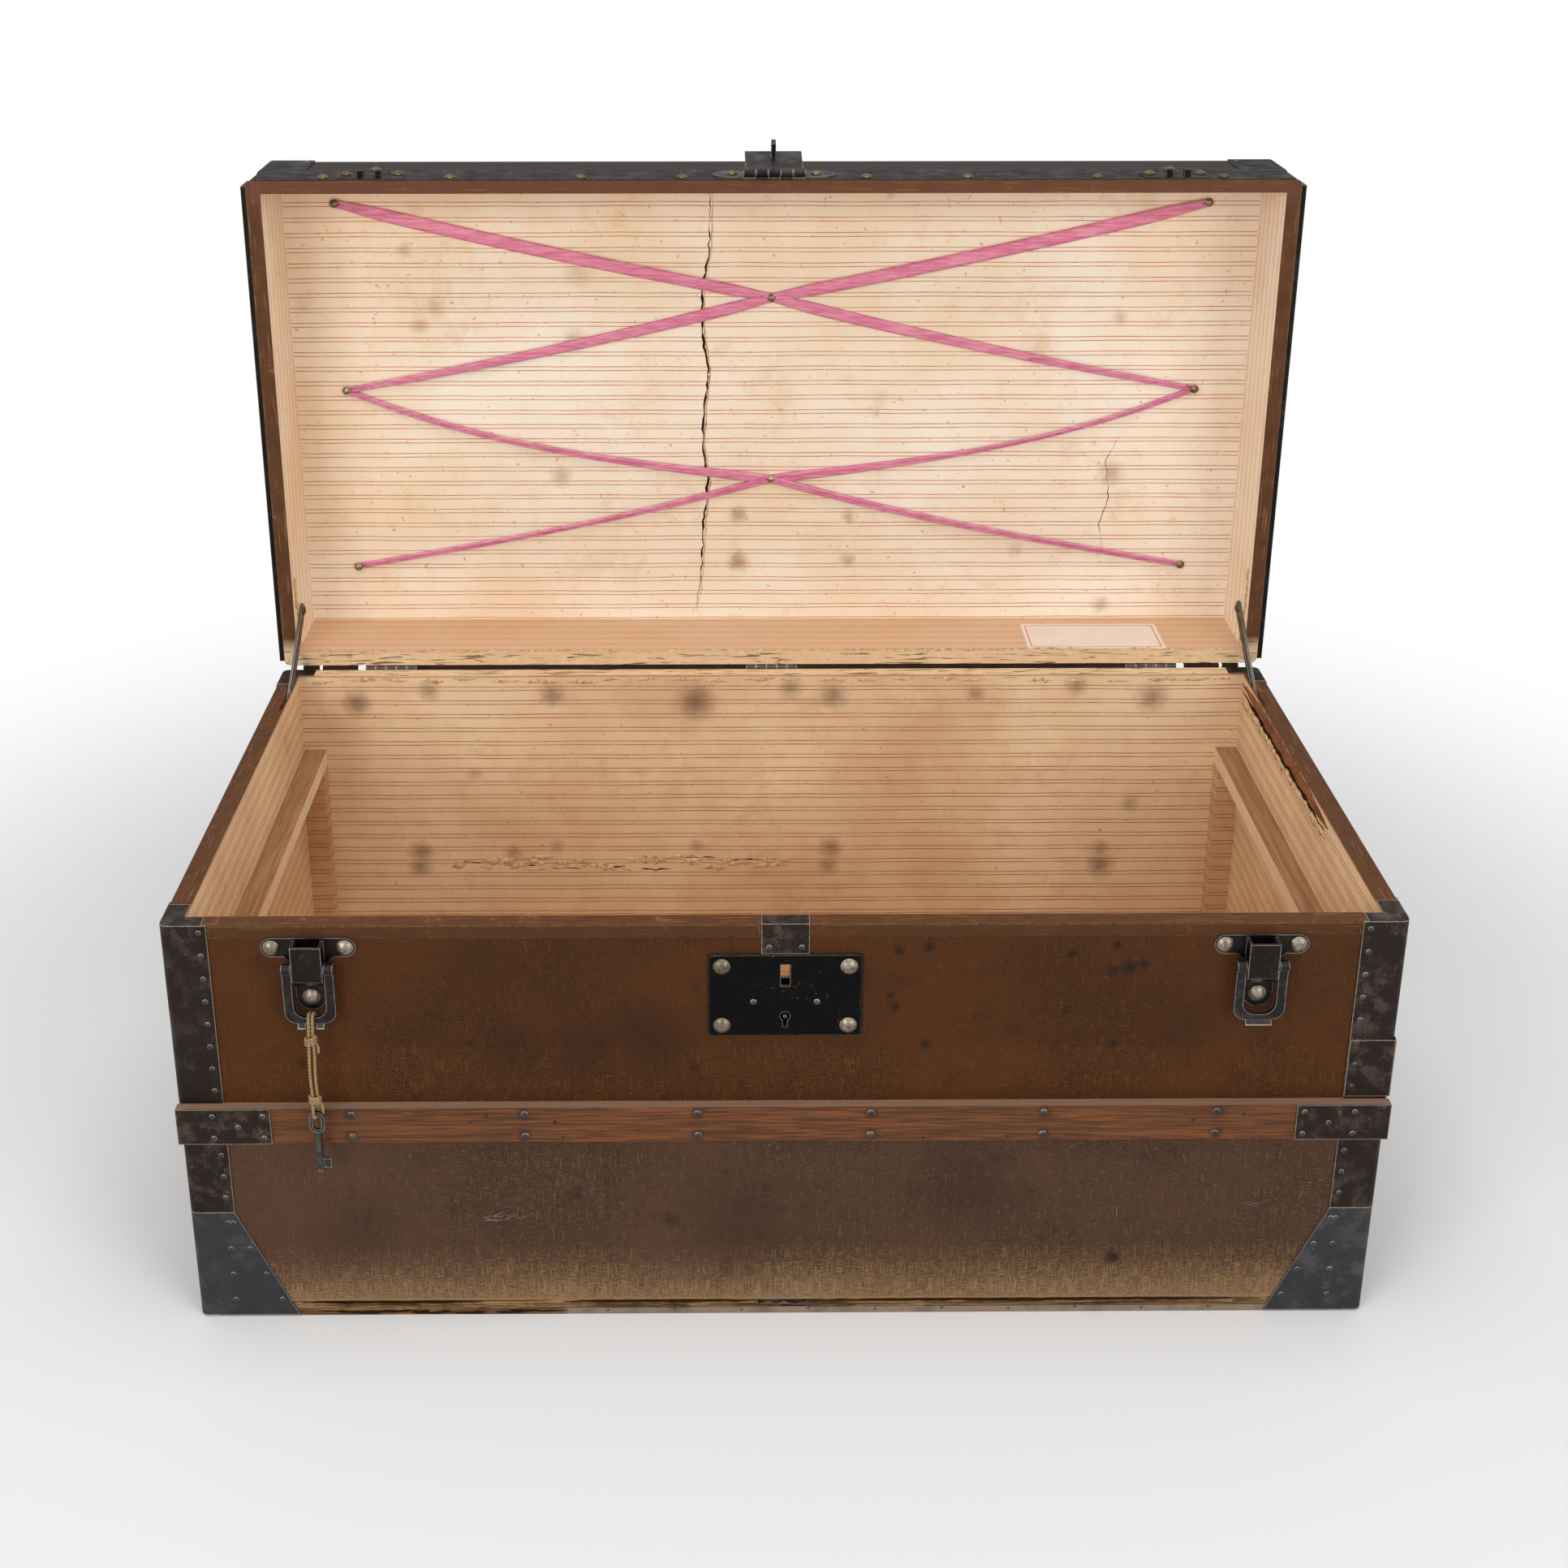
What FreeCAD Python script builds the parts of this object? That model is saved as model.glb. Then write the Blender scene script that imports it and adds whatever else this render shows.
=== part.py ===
"""A canvas-covered travelling trunk with its lid open: boards, canvas, paper lining, steel bands and caps,
a hasp lock, two bail catches, lid stays, end handles and a key on a twine."""

import FreeCAD, Part
import math
import os

from FreeCAD import Vector

os.makedirs("parts", exist_ok=True)

# Body and lid, over the canvas, with +Y to the back and the floor at 0
BODY_W = 798.0
BODY_D = 398.0
RIM_Z = 308.0
BASE_Z = 5.0
CORNER_R = 4.0
CANVAS = 1.0
CANVAS_BOTTOM = 12.0
BINDING = 0.8
END_BOARD = 12.0
LONG_BOARD = 9.0
BOTTOM_BOARD = 8.0
LINING = 0.8
RIM_GAP = 0.4
LID_H = 84.0
LID_END_BOARD = 9.0
LID_LONG_BOARD = 8.0
LID_TOP_BOARD = 8.0
LID_LINING = 0.6
OPEN_ANGLE = 90.0

# Runners, slats and steel trim
RUNNER_W = 40.0
RUNNER_SHORT = 12.0
SLAT_H = 27.0
SLAT_T = 7.2
SLAT_TOP_BELOW_RIM = 134.0
SLAT_SCREW_COUNT = 6
SLAT_SCREW_FROM_END = 114.0
SLAT_SCREW_DZ = 8.5
SLAT_SCREW_D = 5.0
SLAT_SCREW_H = 1.3
STEEL = 1.0
BAND_W = 30.4
BAND_TAB = 26.0
CAP_H = 85.0
CAP_FOOT = 68.0
CAP_Z = 1.5
BRACKET_L = 62.0
BRACKET_NAIL_COLUMNS = (24.0, 57.0)
NAIL_D = 3.6
NAIL_H = 0.9
NAIL_PITCH = 17.0
NAIL_INSET = 5.0
CAP_NAIL_ROWS = 4
CAP_NAIL_DROP = 8.0
BASE_PLATE_L = 35.0
BASE_PLATE_H = 7.0

# Domed rivets
RIVET_D = 11.5
RIVET_H = 3.6
DOME_EDGE_SHARE = 0.2
LID_RIVET_D = 8.0
LID_RIVET_H = 2.4
LID_RIVET_FROM_MIDDLE = (70.0, 147.0)
LID_RIVET_FROM_END = (57.0, 153.0)
LID_RIVET_UP = 9.0

# Lock
LOCK_W = 100.0
LOCK_H = 61.0
LOCK_T = 2.0
LOCK_R = 3.0
LOCK_BEVEL = 0.8
LOCK_BELOW_RIM = 22.0
LOCK_RIVET_DX = 41.0
LOCK_RIVET_DZ = 22.0
SLOT_W = 6.0
SLOT_H = 16.0
SLOT_BELOW_RIM = 37.5
STUD_X = 20.5
STUD_BELOW_RIM = 57.0
STUD_D = 4.0
KEYHOLE_D = 6.4
KEYHOLE_BELOW_RIM = 68.0
KEYHOLE_LEG = 8.0
KEYHOLE_LEG_W = 2.8
DRILL_PIN_D = 2.4
POCKET_W = 84.0
POCKET_H = 50.0
POCKET_DEPTH = 8.0
CASE_T = 1.0
BOLT_T = 3.0
BOLT_H = 5.0
BOLT_CLEAR = 0.4
BOLT_TRAVEL = 9.0
BOLT_END_X = 34.0
BOLT_TAIL_X = (14.0, 30.0)
BOLT_TAIL_BELOW_RIM = 62.0
TALON = 5.0
GUIDE_H = 3.0
GUIDE_GAP = 0.3
SPRING_T = 0.8
STRAP_W = 31.0

# Bail catches
CATCH_FROM_END = 93.4
CATCH_W = 61.0
CATCH_NECK = 6.0
CATCH_FOOT_R = 9.8
PLATE_T = 1.2
CATCH_RIVET_DX = 23.6
CATCH_RIVET_BELOW = 16.0
CATCH_FOOT_RIVET_BELOW = 52.0
TUNNEL_W = 19.7
TUNNEL_TOP = 11.0
TUNNEL_BOTTOM = 42.0
TUNNEL_OFF = 10.6
TUNNEL_T = 1.6
TUNNEL_BEVEL = 6.0
BAIL_PIN_BELOW = 28.0
BAIL_PIN_OFF = 7.5
BAIL_PIN_D = 2.6
BAIL_IN_W = 21.0
BAIL_ARM_W = 6.0
BAIL_T = 3.0
BAIL_EYE_R = 3.6
BAIL_REACH = 35.4
BAIL_BAR_H = 4.0
BAIL_OUTER_R = 8.0
BAIL_INNER_R = 8.0
BAIL_LIP_H = 3.0
BAIL_LIP_OUT = 2.0
TWINE_NOTCH_CLEAR = 0.8
PIN_CLEAR = 0.05

# Keepers on the lid front
KEEPER_W = 50.0
KEEPER_H = 40.0
KEEPER_CLEAR = 0.3
KEEPER_PRONG_OFF = 8.0
KEEPER_SPAN = 19.0
KEEPER_GAP = 8.4
KEEPER_RIVET_DX = 19.6
KEEPER_RIVET_UP = 16.0
KEEPER_TOP_RIVET_UP = 34.0

# Hasp
HASP_PLATE_W = 93.0
HASP_PLATE_H = 26.0
HASP_RIVET_DX = 32.0
HASP_PIN_UP = 1.0
HASP_PIN_OFF = 5.5
HASP_PIN_D = 3.0
HASP_KNUCKLE_R = 3.0
HASP_ROW = 47.0
HASP_FLAP_W = 44.0
HASP_FLAP_L = 51.0
HASP_T = 2.0
HASP_FOLD = 172.0
STAPLE_T = 3.6
STAPLE_H = 11.0
STAPLE_OUT = 11.5
STAPLE_RISE = 0.4
KNUCKLE_GAP = 0.3

# Back hinges
HINGE_FROM_END = 87.0
HINGE_L = 42.0
HINGE_R = 2.5
HINGE_PIN_D = 2.4
HINGE_OFF = 2.8
HINGE_LEAF_H = 32.0
HINGE_LEAF_T = 1.4
HINGE_NAIL_ROWS = (12.8, 25.6)
KNUCKLES = 5

# Lid stays: lid pivot and guide pin lie on one circle about the hinge line
STAY_BACK = 26.0
STAY_UP = 41.0
STAY_GUIDE_DOWN = 9.0
STAY_W = 12.0
STAY_T = 1.8
STAY_CLEAR = 0.3
STAY_PIN_D = 4.0
STAY_SLOT_CLEAR = 0.15
STAY_END = 8.0
STAY_STEPS = 18
POCKET_MARGIN = 5.0

# Tray rails and posts
RAIL_W = 17.6
RAIL_H = 13.0
RAIL_BELOW_RIM = 67.0
POST_D = 16.0

# Ribbons on the lid panel, between nails set off from the lid's walls
RIBBON_W = 11.0
RIBBON_T = 0.6
RIBBON_GAP = 0.3
RIBBON_RUNS = 4
RIBBON_FROM_END = 42.0
RIBBON_FROM_FRONT = 22.0
RIBBON_FROM_BACK = 50.0
RIBBON_NAIL_D = 7.0
RIBBON_NAIL_SHANK = 2.0

# Lid trim
LID_BAND_H = 40.0
LID_BAND_UP = 1.5
LID_CAP_H = 40.0
EDGE_STRIP_T = 4.0
EDGE_STRIP_H = 24.0
LID_CAP = 37.0

# End handles
HANDLE_BELOW_RIM = 72.0
HANDLE_OFF = 13.0
HANDLE_HALF_SPAN = 66.0
HANDLE_DROP = 40.0
HANDLE_W = 18.0
HANDLE_T = 10.0
HANDLE_GRIP_H = 20.0
HANDLE_ROUND = 4.0
HANDLE_PIN_D = 6.0
EAR_T = 3.0
EAR_GAP = 0.3
MOUNT_H = 40.0
MOUNT_T = 1.6

# Key and twine
TWINE_D = 2.2
TWINE_DROP = 57.0
TWINE_SPREAD = 3.2
TWINE_OUT = 7.5
KNOT_R = 3.0
KEY_LOOP_R = 4.4
KEY_BOW_W = 10.0
KEY_BOW_H = 16.0
KEY_WIRE = 2.4
KEY_SHANK_D = 4.8
KEY_SHANK_L = 31.0
KEY_BORE = 2.8
KEY_BORE_L = 22.0
KEY_BIT_W = 5.0
KEY_BIT_H = 7.0
KEY_BIT_T = 1.8

# Places worked out from the sizes above
HALF_W = BODY_W / 2
HALF_D = BODY_D / 2
FRONT = -HALF_D
BOARD_TOP = RIM_Z - BINDING
INNER_X = HALF_W - CANVAS - END_BOARD
INNER_Y = HALF_D - CANVAS - LONG_BOARD
LID_Z0 = RIM_Z + RIM_GAP
LID_Z1 = LID_Z0 + LID_H
LID_INNER_X = HALF_W - CANVAS - LID_END_BOARD
LID_INNER_Y = HALF_D - CANVAS - LID_LONG_BOARD
LID_PANEL_Z = LID_Z1 - CANVAS - LID_TOP_BOARD
HINGE_Y = HALF_D + HINGE_OFF
HINGE_Z = RIM_Z + RIM_GAP / 2
CATCH_X = HALF_W - CATCH_FROM_END
HINGE_X = (HINGE_FROM_END - HALF_W, 0.0, HALF_W - HINGE_FROM_END)
SLAT_Z1 = RIM_Z - SLAT_TOP_BELOW_RIM
SLAT_Z0 = SLAT_Z1 - SLAT_H
X_AXIS = Vector(1, 0, 0)
Y_AXIS = Vector(0, 1, 0)
Z_AXIS = Vector(0, 0, 1)


def box(x0, x1, y0, y1, z0, z1):
    return Part.makeBox(x1 - x0, y1 - y0, z1 - z0, Vector(x0, y0, z0))


def rod(x, y, z, axis, radius, length):
    return Part.makeCylinder(radius, length, Vector(x, y, z), axis)


def joined(shapes):
    result = shapes[0]
    for shape in shapes[1:]:
        result = result.fuse(shape)
    return result.removeSplitter()


def group(shapes):
    return Part.makeCompound(shapes)


def prism(points, direction):
    wire = Part.makePolygon([Vector(*p) for p in points] + [Vector(*points[0])])
    return Part.Face(wire).extrude(direction)


def rounded(width, depth, radius, z0, z1):
    """An upright block about the Z axis with rounded upright edges."""
    block = box(-width / 2, width / 2, -depth / 2, depth / 2, z0, z1)
    upright = [e for e in block.Edges if abs(e.tangentAt(e.FirstParameter).z) > 0.9]
    return block.makeFillet(radius, upright)


def dome(x, y, z, axis, diameter, height):
    """A rivet head: a cap of a ball on a short straight edge."""
    edge = height * DOME_EDGE_SHARE
    r = diameter / 2
    rise = height - edge
    ball = (r * r + rise * rise) / (2 * rise)
    half = math.asin(r / ball) / 2
    middle = Vector(ball * math.sin(half), 0, height - ball + ball * math.cos(half))
    outline = [
        Part.makeLine(Vector(0, 0, 0), Vector(r, 0, 0)),
        Part.makeLine(Vector(r, 0, 0), Vector(r, 0, edge)),
        Part.Arc(Vector(r, 0, edge), middle, Vector(0, 0, height)).toShape(),
        Part.makeLine(Vector(0, 0, height), Vector(0, 0, 0)),
    ]
    head = Part.Face(Part.Wire(outline)).revolve(Vector(0, 0, 0), Z_AXIS, 360)
    turn = FreeCAD.Rotation(Z_AXIS, axis)
    head.Placement = FreeCAD.Placement(Vector(x, y, z), turn)
    return head


def mirrored(shape):
    return shape.mirror(Vector(0, 0, 0), X_AXIS)


def opened(shape):
    """A lid piece, modelled with the lid shut, turned to the open lid."""
    turned = shape.copy()
    turned.rotate(Vector(0, HINGE_Y, HINGE_Z), X_AXIS, -OPEN_ANGLE)
    return turned


def nail(x, y, z, axis):
    return dome(x, y, z, axis, NAIL_D, NAIL_H)


# Boards of the body
board_block = rounded(BODY_W - 2 * CANVAS, BODY_D - 2 * CANVAS, CORNER_R - CANVAS, BASE_Z, BOARD_TOP)
front_board = box(-HALF_W, HALF_W, FRONT, -INNER_Y, BASE_Z, BOARD_TOP).common(board_block)
back_board = box(-HALF_W, HALF_W, INNER_Y, HALF_D, BASE_Z, BOARD_TOP).common(board_block)
right_end_board = box(INNER_X, HALF_W, -INNER_Y, INNER_Y, BASE_Z, BOARD_TOP).common(board_block)
bottom_board = box(-INNER_X, INNER_X, -INNER_Y, INNER_Y, BASE_Z, BASE_Z + BOTTOM_BOARD)
runner_end = HALF_W - RUNNER_SHORT
runner = box(-runner_end, runner_end, FRONT, FRONT + RUNNER_W, 0, BASE_Z)
middle_runner = box(-runner_end, runner_end, -RUNNER_W / 2, RUNNER_W / 2, 0, BASE_Z)
bottom_runners = [runner, middle_runner, runner.mirror(Vector(0, 0, 0), Y_AXIS)]

# Canvas round the four walls
canvas_block = rounded(BODY_W, BODY_D, CORNER_R, CANVAS_BOTTOM, BOARD_TOP)
canvas = canvas_block.cut(board_block)

# Paper lining on the walls and the floor
floor_z = BASE_Z + BOTTOM_BOARD
lining_y = INNER_Y - LINING
lining_x = INNER_X - LINING
front_lining = box(-INNER_X, INNER_X, -INNER_Y, -lining_y, floor_z, BOARD_TOP)
back_lining = front_lining.mirror(Vector(0, 0, 0), Y_AXIS)
right_lining = box(lining_x, INNER_X, -lining_y, lining_y, floor_z, BOARD_TOP)
floor_lining = box(-lining_x, lining_x, -lining_y, lining_y, floor_z, floor_z + LINING)

# Steel corner bands, with a tab folded over the rim, and the rim binding between the tabs
steel_block = rounded(BODY_W + 2 * STEEL, BODY_D + 2 * STEEL, CORNER_R + STEEL, 0, RIM_Z)
rim_block = rounded(BODY_W, BODY_D, CORNER_R, BOARD_TOP, RIM_Z)
rim_hollow = box(-lining_x, lining_x, -lining_y, lining_y, BOARD_TOP, RIM_Z)
steel_shell = steel_block.cut(rounded(BODY_W, BODY_D, CORNER_R, 0, RIM_Z))
rim_ring = rim_block.cut(rim_hollow)
cap_top = CAP_Z + CAP_H
band_x = HALF_W + STEEL - BAND_W
band_y = HALF_D + STEEL - BAND_W
band_corner = box(band_x, HALF_W + STEEL, FRONT - STEEL, -band_y, cap_top, RIM_Z)
tab_x = HALF_W - BAND_TAB
tab_y = HALF_D - BAND_TAB
tab_corner = box(tab_x, HALF_W, FRONT, -tab_y, BOARD_TOP, RIM_Z)
band = joined([steel_shell.common(band_corner), rim_ring.common(tab_corner)])
tabs = []
for sx in (1, -1):
    for sy in (-1, 1):
        tab_xs = sorted((sx * tab_x, sx * HALF_W))
        tab_ys = sorted((sy * tab_y, sy * HALF_D))
        tabs.append(box(*tab_xs, *tab_ys, BOARD_TOP, RIM_Z))


def four_corners(shape):
    """The front right piece and its copies at the other corners."""
    pair = [shape, mirrored(shape)]
    return pair + [p.mirror(Vector(0, 0, 0), Y_AXIS) for p in pair]


# Bottom corner caps: straight down the corner, slanting out to the foot
cap_edge_x = HALF_W + STEEL
cap_front = prism(
    [
        (cap_edge_x, FRONT - STEEL, CAP_Z),
        (cap_edge_x, FRONT - STEEL, cap_top),
        (cap_edge_x - BAND_W, FRONT - STEEL, cap_top),
        (cap_edge_x - CAP_FOOT, FRONT - STEEL, CAP_Z),
    ],
    Vector(0, CAP_FOOT, 0),
)
cap_side = prism(
    [
        (cap_edge_x, FRONT - STEEL, CAP_Z),
        (cap_edge_x, FRONT - STEEL, cap_top),
        (cap_edge_x, FRONT - STEEL + BAND_W, cap_top),
        (cap_edge_x, FRONT - STEEL + CAP_FOOT, CAP_Z),
    ],
    Vector(-CAP_FOOT, 0, 0),
)
front_half = box(0, HALF_W + STEEL, FRONT - STEEL, FRONT + CORNER_R, 0, RIM_Z)
side_half = box(HALF_W - CORNER_R, HALF_W + STEEL, FRONT - STEEL, 0, 0, RIM_Z)
cap_front_leaf = steel_shell.common(front_half).common(cap_front)
cap_side_leaf = steel_shell.common(side_half).common(cap_side)
cap = joined([cap_front_leaf, cap_side_leaf])

# Slats with notches over the bands, and the brackets round their ends
slat_y = FRONT - SLAT_T
slat = box(-HALF_W, HALF_W, slat_y, FRONT, SLAT_Z0, SLAT_Z1)
for sx in (1, -1):
    notch_x = sorted((sx * band_x, sx * HALF_W))
    slat = slat.cut(box(*notch_x, FRONT - STEEL, FRONT, SLAT_Z0, SLAT_Z1))
bracket_x = HALF_W + STEEL - BRACKET_L
bracket = joined(
    [
        box(bracket_x, HALF_W + STEEL, slat_y - STEEL, slat_y, SLAT_Z0, SLAT_Z1),
        box(HALF_W, HALF_W + STEEL, slat_y, FRONT - STEEL, SLAT_Z0, SLAT_Z1),
    ]
)
slat_mid = (SLAT_Z0 + SLAT_Z1) / 2
slat_screws = []
screw_end = HALF_W - SLAT_SCREW_FROM_END
for i in range(SLAT_SCREW_COUNT):
    x = screw_end * (2 * i / (SLAT_SCREW_COUNT - 1) - 1)
    for dz in (-SLAT_SCREW_DZ, SLAT_SCREW_DZ):
        screw = dome(x, slat_y, slat_mid + dz, -Y_AXIS, SLAT_SCREW_D, SLAT_SCREW_H)
        slat_screws += [screw, screw.mirror(Vector(0, 0, 0), Y_AXIS)]

# Small steel plate at the middle of the front's bottom edge
base_plate = box(-BASE_PLATE_L / 2, BASE_PLATE_L / 2, FRONT, FRONT + CANVAS, BASE_Z, BASE_Z + BASE_PLATE_H)

# Nails through the bands, caps and brackets
nail_y = FRONT - STEEL
band_nail_x = band_x + NAIL_INSET
corner_nails = []
row = RIM_Z - NAIL_INSET
while row > cap_top + NAIL_INSET:
    if row > SLAT_Z1 + NAIL_INSET or row < SLAT_Z0 - NAIL_INSET:
        corner_nails.append(nail(band_nail_x, nail_y, row, -Y_AXIS))
        corner_nails.append(nail(HALF_W + STEEL, -band_y - NAIL_INSET, row, X_AXIS))
    row -= NAIL_PITCH
for i in range(CAP_NAIL_ROWS):
    row = cap_top - CAP_NAIL_DROP - i * CAP_H / CAP_NAIL_ROWS
    reach = BAND_W + (CAP_FOOT - BAND_W) * (cap_top - row) / CAP_H - NAIL_INSET
    for across in (BAND_W - NAIL_INSET, reach):
        corner_nails.append(nail(cap_edge_x - across, nail_y, row, -Y_AXIS))
        corner_nails.append(nail(HALF_W + STEEL, FRONT - STEEL + across, row, X_AXIS))
bracket_spots = [(away, dz) for away in BRACKET_NAIL_COLUMNS for dz in (-SLAT_SCREW_DZ, SLAT_SCREW_DZ)]
bracket_spots.append((sum(BRACKET_NAIL_COLUMNS) / 2, 0))
for away, dz in bracket_spots:
    corner_nails.append(nail(HALF_W + STEEL - away, slat_y - STEEL, slat_mid + dz, -Y_AXIS))
steel_nails = []
for piece in corner_nails:
    steel_nails += four_corners(piece)

# Lock plate on the canvas, with its slot and keyhole, over a pocket in the front board
lock_top = RIM_Z - LOCK_BELOW_RIM
lock_mid = lock_top - LOCK_H / 2
lock_y = FRONT - LOCK_T
slot_z = RIM_Z - SLOT_BELOW_RIM
keyhole_z = RIM_Z - KEYHOLE_BELOW_RIM
slot_cut = box(-SLOT_W / 2, SLOT_W / 2, lock_y, -lining_y, slot_z - SLOT_H / 2, slot_z + SLOT_H / 2)
keyhole_cut = joined(
    [
        rod(0, lock_y, keyhole_z, Y_AXIS, KEYHOLE_D / 2, LOCK_T + CANVAS),
        box(-KEYHOLE_LEG_W / 2, KEYHOLE_LEG_W / 2, lock_y, FRONT + CANVAS,
            keyhole_z - KEYHOLE_LEG, keyhole_z),
    ]
)
lock_plate = box(-LOCK_W / 2, LOCK_W / 2, lock_y, FRONT, lock_top - LOCK_H, lock_top)
plate_edges = [e for e in lock_plate.Edges if abs(e.tangentAt(e.FirstParameter).y) > 0.9]
lock_plate = lock_plate.makeFillet(LOCK_R, plate_edges)
face_edges = [e for e in lock_plate.Edges if e.BoundBox.YMax < lock_y + LOCK_T / 2]
lock_plate = lock_plate.makeChamfer(LOCK_BEVEL, face_edges).cut(slot_cut).cut(keyhole_cut)
pocket_y = FRONT + CANVAS + POCKET_DEPTH
pocket = box(-POCKET_W / 2, POCKET_W / 2, FRONT, pocket_y, lock_mid - POCKET_H / 2, lock_mid + POCKET_H / 2)
front_board = front_board.cut(pocket).cut(slot_cut)
canvas = canvas.cut(pocket)
front_lining = front_lining.cut(slot_cut)

# Lock works: back plate with guides and drill pin, sliding bolt and its spring
hasp_pin_y = FRONT - HASP_PIN_OFF
hasp_pin_z = LID_Z0 + HASP_PIN_UP
staple_z = slot_z + STAPLE_RISE
staple_tip = hasp_pin_y + HASP_T / 2 + STAPLE_OUT
bolt_y1 = staple_tip - STAPLE_T / 2 - BOLT_CLEAR
bolt_y0 = bolt_y1 - BOLT_T
bolt_z0 = staple_z - BOLT_H / 2
bolt_z1 = staple_z + BOLT_H / 2
tail_z = RIM_Z - BOLT_TAIL_BELOW_RIM
case_y = pocket_y - CASE_T
guide_x0 = BOLT_TAIL_X[0] - GUIDE_H
guide_x1 = POCKET_W / 2 - CASE_T
case_plate = box(-guide_x1, guide_x1, case_y, pocket_y, pocket.BoundBox.ZMin, pocket.BoundBox.ZMax)
upper_guide = box(guide_x0, guide_x1, bolt_y0, case_y, bolt_z1 + GUIDE_GAP, bolt_z1 + GUIDE_GAP + GUIDE_H)
lower_guide = box(guide_x0, guide_x1, bolt_y0, case_y, tail_z - GUIDE_GAP - GUIDE_H, tail_z - GUIDE_GAP)
drill_pin = rod(0, lock_y, keyhole_z, Y_AXIS, DRILL_PIN_D / 2, case_y - lock_y)
lock_case = joined([case_plate.cut(slot_cut), upper_guide, lower_guide, drill_pin])
bolt_nose = box(BOLT_TRAVEL / 2, BOLT_END_X, bolt_y0, bolt_y1, bolt_z0, bolt_z1)
bolt_tail = box(*BOLT_TAIL_X, bolt_y0, bolt_y1, tail_z, bolt_z0)
talon = box(BOLT_TAIL_X[0], BOLT_TAIL_X[0] + TALON, bolt_y0, bolt_y1, tail_z, tail_z + TALON)
lock_bolt = joined([bolt_nose, bolt_tail.cut(talon)])
spring_x = BOLT_TAIL_X[1] + GUIDE_GAP
spring_z1 = bolt_z0 - GUIDE_GAP
spring_blade = box(spring_x, spring_x + SPRING_T, bolt_y0, bolt_y1, tail_z, spring_z1)
spring_foot = box(spring_x, guide_x1, bolt_y0, case_y, tail_z, tail_z + SPRING_T)
lock_spring = joined([spring_blade, spring_foot])

# Steel strap over the rim, from the inside edge down to the lock plate
strap_front = box(-STRAP_W / 2, STRAP_W / 2, FRONT - STEEL, FRONT, lock_top, RIM_Z)
strap_top = box(-STRAP_W / 2, STRAP_W / 2, FRONT, -lining_y, BOARD_TOP, RIM_Z)
lock_strap = joined([strap_front, strap_top])
for sx in (-1, 1):
    nail_x = sx * (STRAP_W / 2 - NAIL_INSET)
    steel_nails.append(nail(nail_x, FRONT - STEEL, lock_top + NAIL_INSET, -Y_AXIS))
    steel_nails.append(dome(sx * STUD_X, lock_y, RIM_Z - STUD_BELOW_RIM, -Y_AXIS, STUD_D, NAIL_H))
body_rivets = []
for sx in (-1, 1):
    for sz in (-1, 1):
        rivet_z = lock_mid + sz * LOCK_RIVET_DZ
        body_rivets.append(dome(sx * LOCK_RIVET_DX, lock_y, rivet_z, -Y_AXIS, RIVET_D, RIVET_H))

# Bail catch, made at the right and mirrored: plate with a tunnel, pin and bail
catch_y = FRONT - PLATE_T
bail_pin_y = FRONT - BAIL_PIN_OFF
bail_pin_z = RIM_Z - BAIL_PIN_BELOW
bail_end = BAIL_IN_W / 2 + BAIL_ARM_W


def catch_plate():
    """A T plate with round lobes at its rivets, and a tunnel with a slanting lower end."""
    lobe_z = RIM_Z - CATCH_RIVET_BELOW
    lobe_r = CATCH_W / 2 - CATCH_RIVET_DX
    foot_z = RIM_Z - CATCH_FOOT_RIVET_BELOW
    pieces = [
        box(-CATCH_RIVET_DX, CATCH_RIVET_DX, catch_y, FRONT, lobe_z - lobe_r, lobe_z + lobe_r),
        box(-CATCH_FOOT_R, CATCH_FOOT_R, catch_y, FRONT, foot_z, lobe_z),
        rod(0, catch_y, foot_z, Y_AXIS, CATCH_FOOT_R, PLATE_T),
    ]
    neck_z = lobe_z - lobe_r
    for sx in (-1, 1):
        pieces.append(rod(sx * CATCH_RIVET_DX, catch_y, lobe_z, Y_AXIS, lobe_r, PLATE_T))
        neck = [(sx * CATCH_FOOT_R, catch_y, neck_z), (sx * (CATCH_FOOT_R + CATCH_NECK), catch_y, neck_z),
                (sx * CATCH_FOOT_R, catch_y, neck_z - CATCH_NECK)]
        pieces.append(prism(neck, Vector(0, PLATE_T, 0)))
    half = TUNNEL_W / 2
    half_in = half - TUNNEL_T
    tunnel_y = FRONT - TUNNEL_OFF
    tunnel_z0 = RIM_Z - TUNNEL_BOTTOM
    tunnel = box(-half, half, tunnel_y, catch_y, tunnel_z0, RIM_Z - TUNNEL_TOP)
    hollow = box(-half_in, half_in, tunnel_y + TUNNEL_T, catch_y,
                 tunnel_z0 + TUNNEL_BEVEL, RIM_Z - TUNNEL_TOP)
    bevel = prism([(-half, tunnel_y, tunnel_z0), (-half, tunnel_y, tunnel_z0 + TUNNEL_BEVEL),
                   (-half, tunnel_y + TUNNEL_BEVEL, tunnel_z0)], Vector(TUNNEL_W, 0, 0))
    bore = rod(-half, bail_pin_y, bail_pin_z, X_AXIS, BAIL_PIN_D / 2 + PIN_CLEAR, TUNNEL_W)
    return joined(pieces + [tunnel.cut(hollow).cut(bevel)]).cut(bore)


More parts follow.
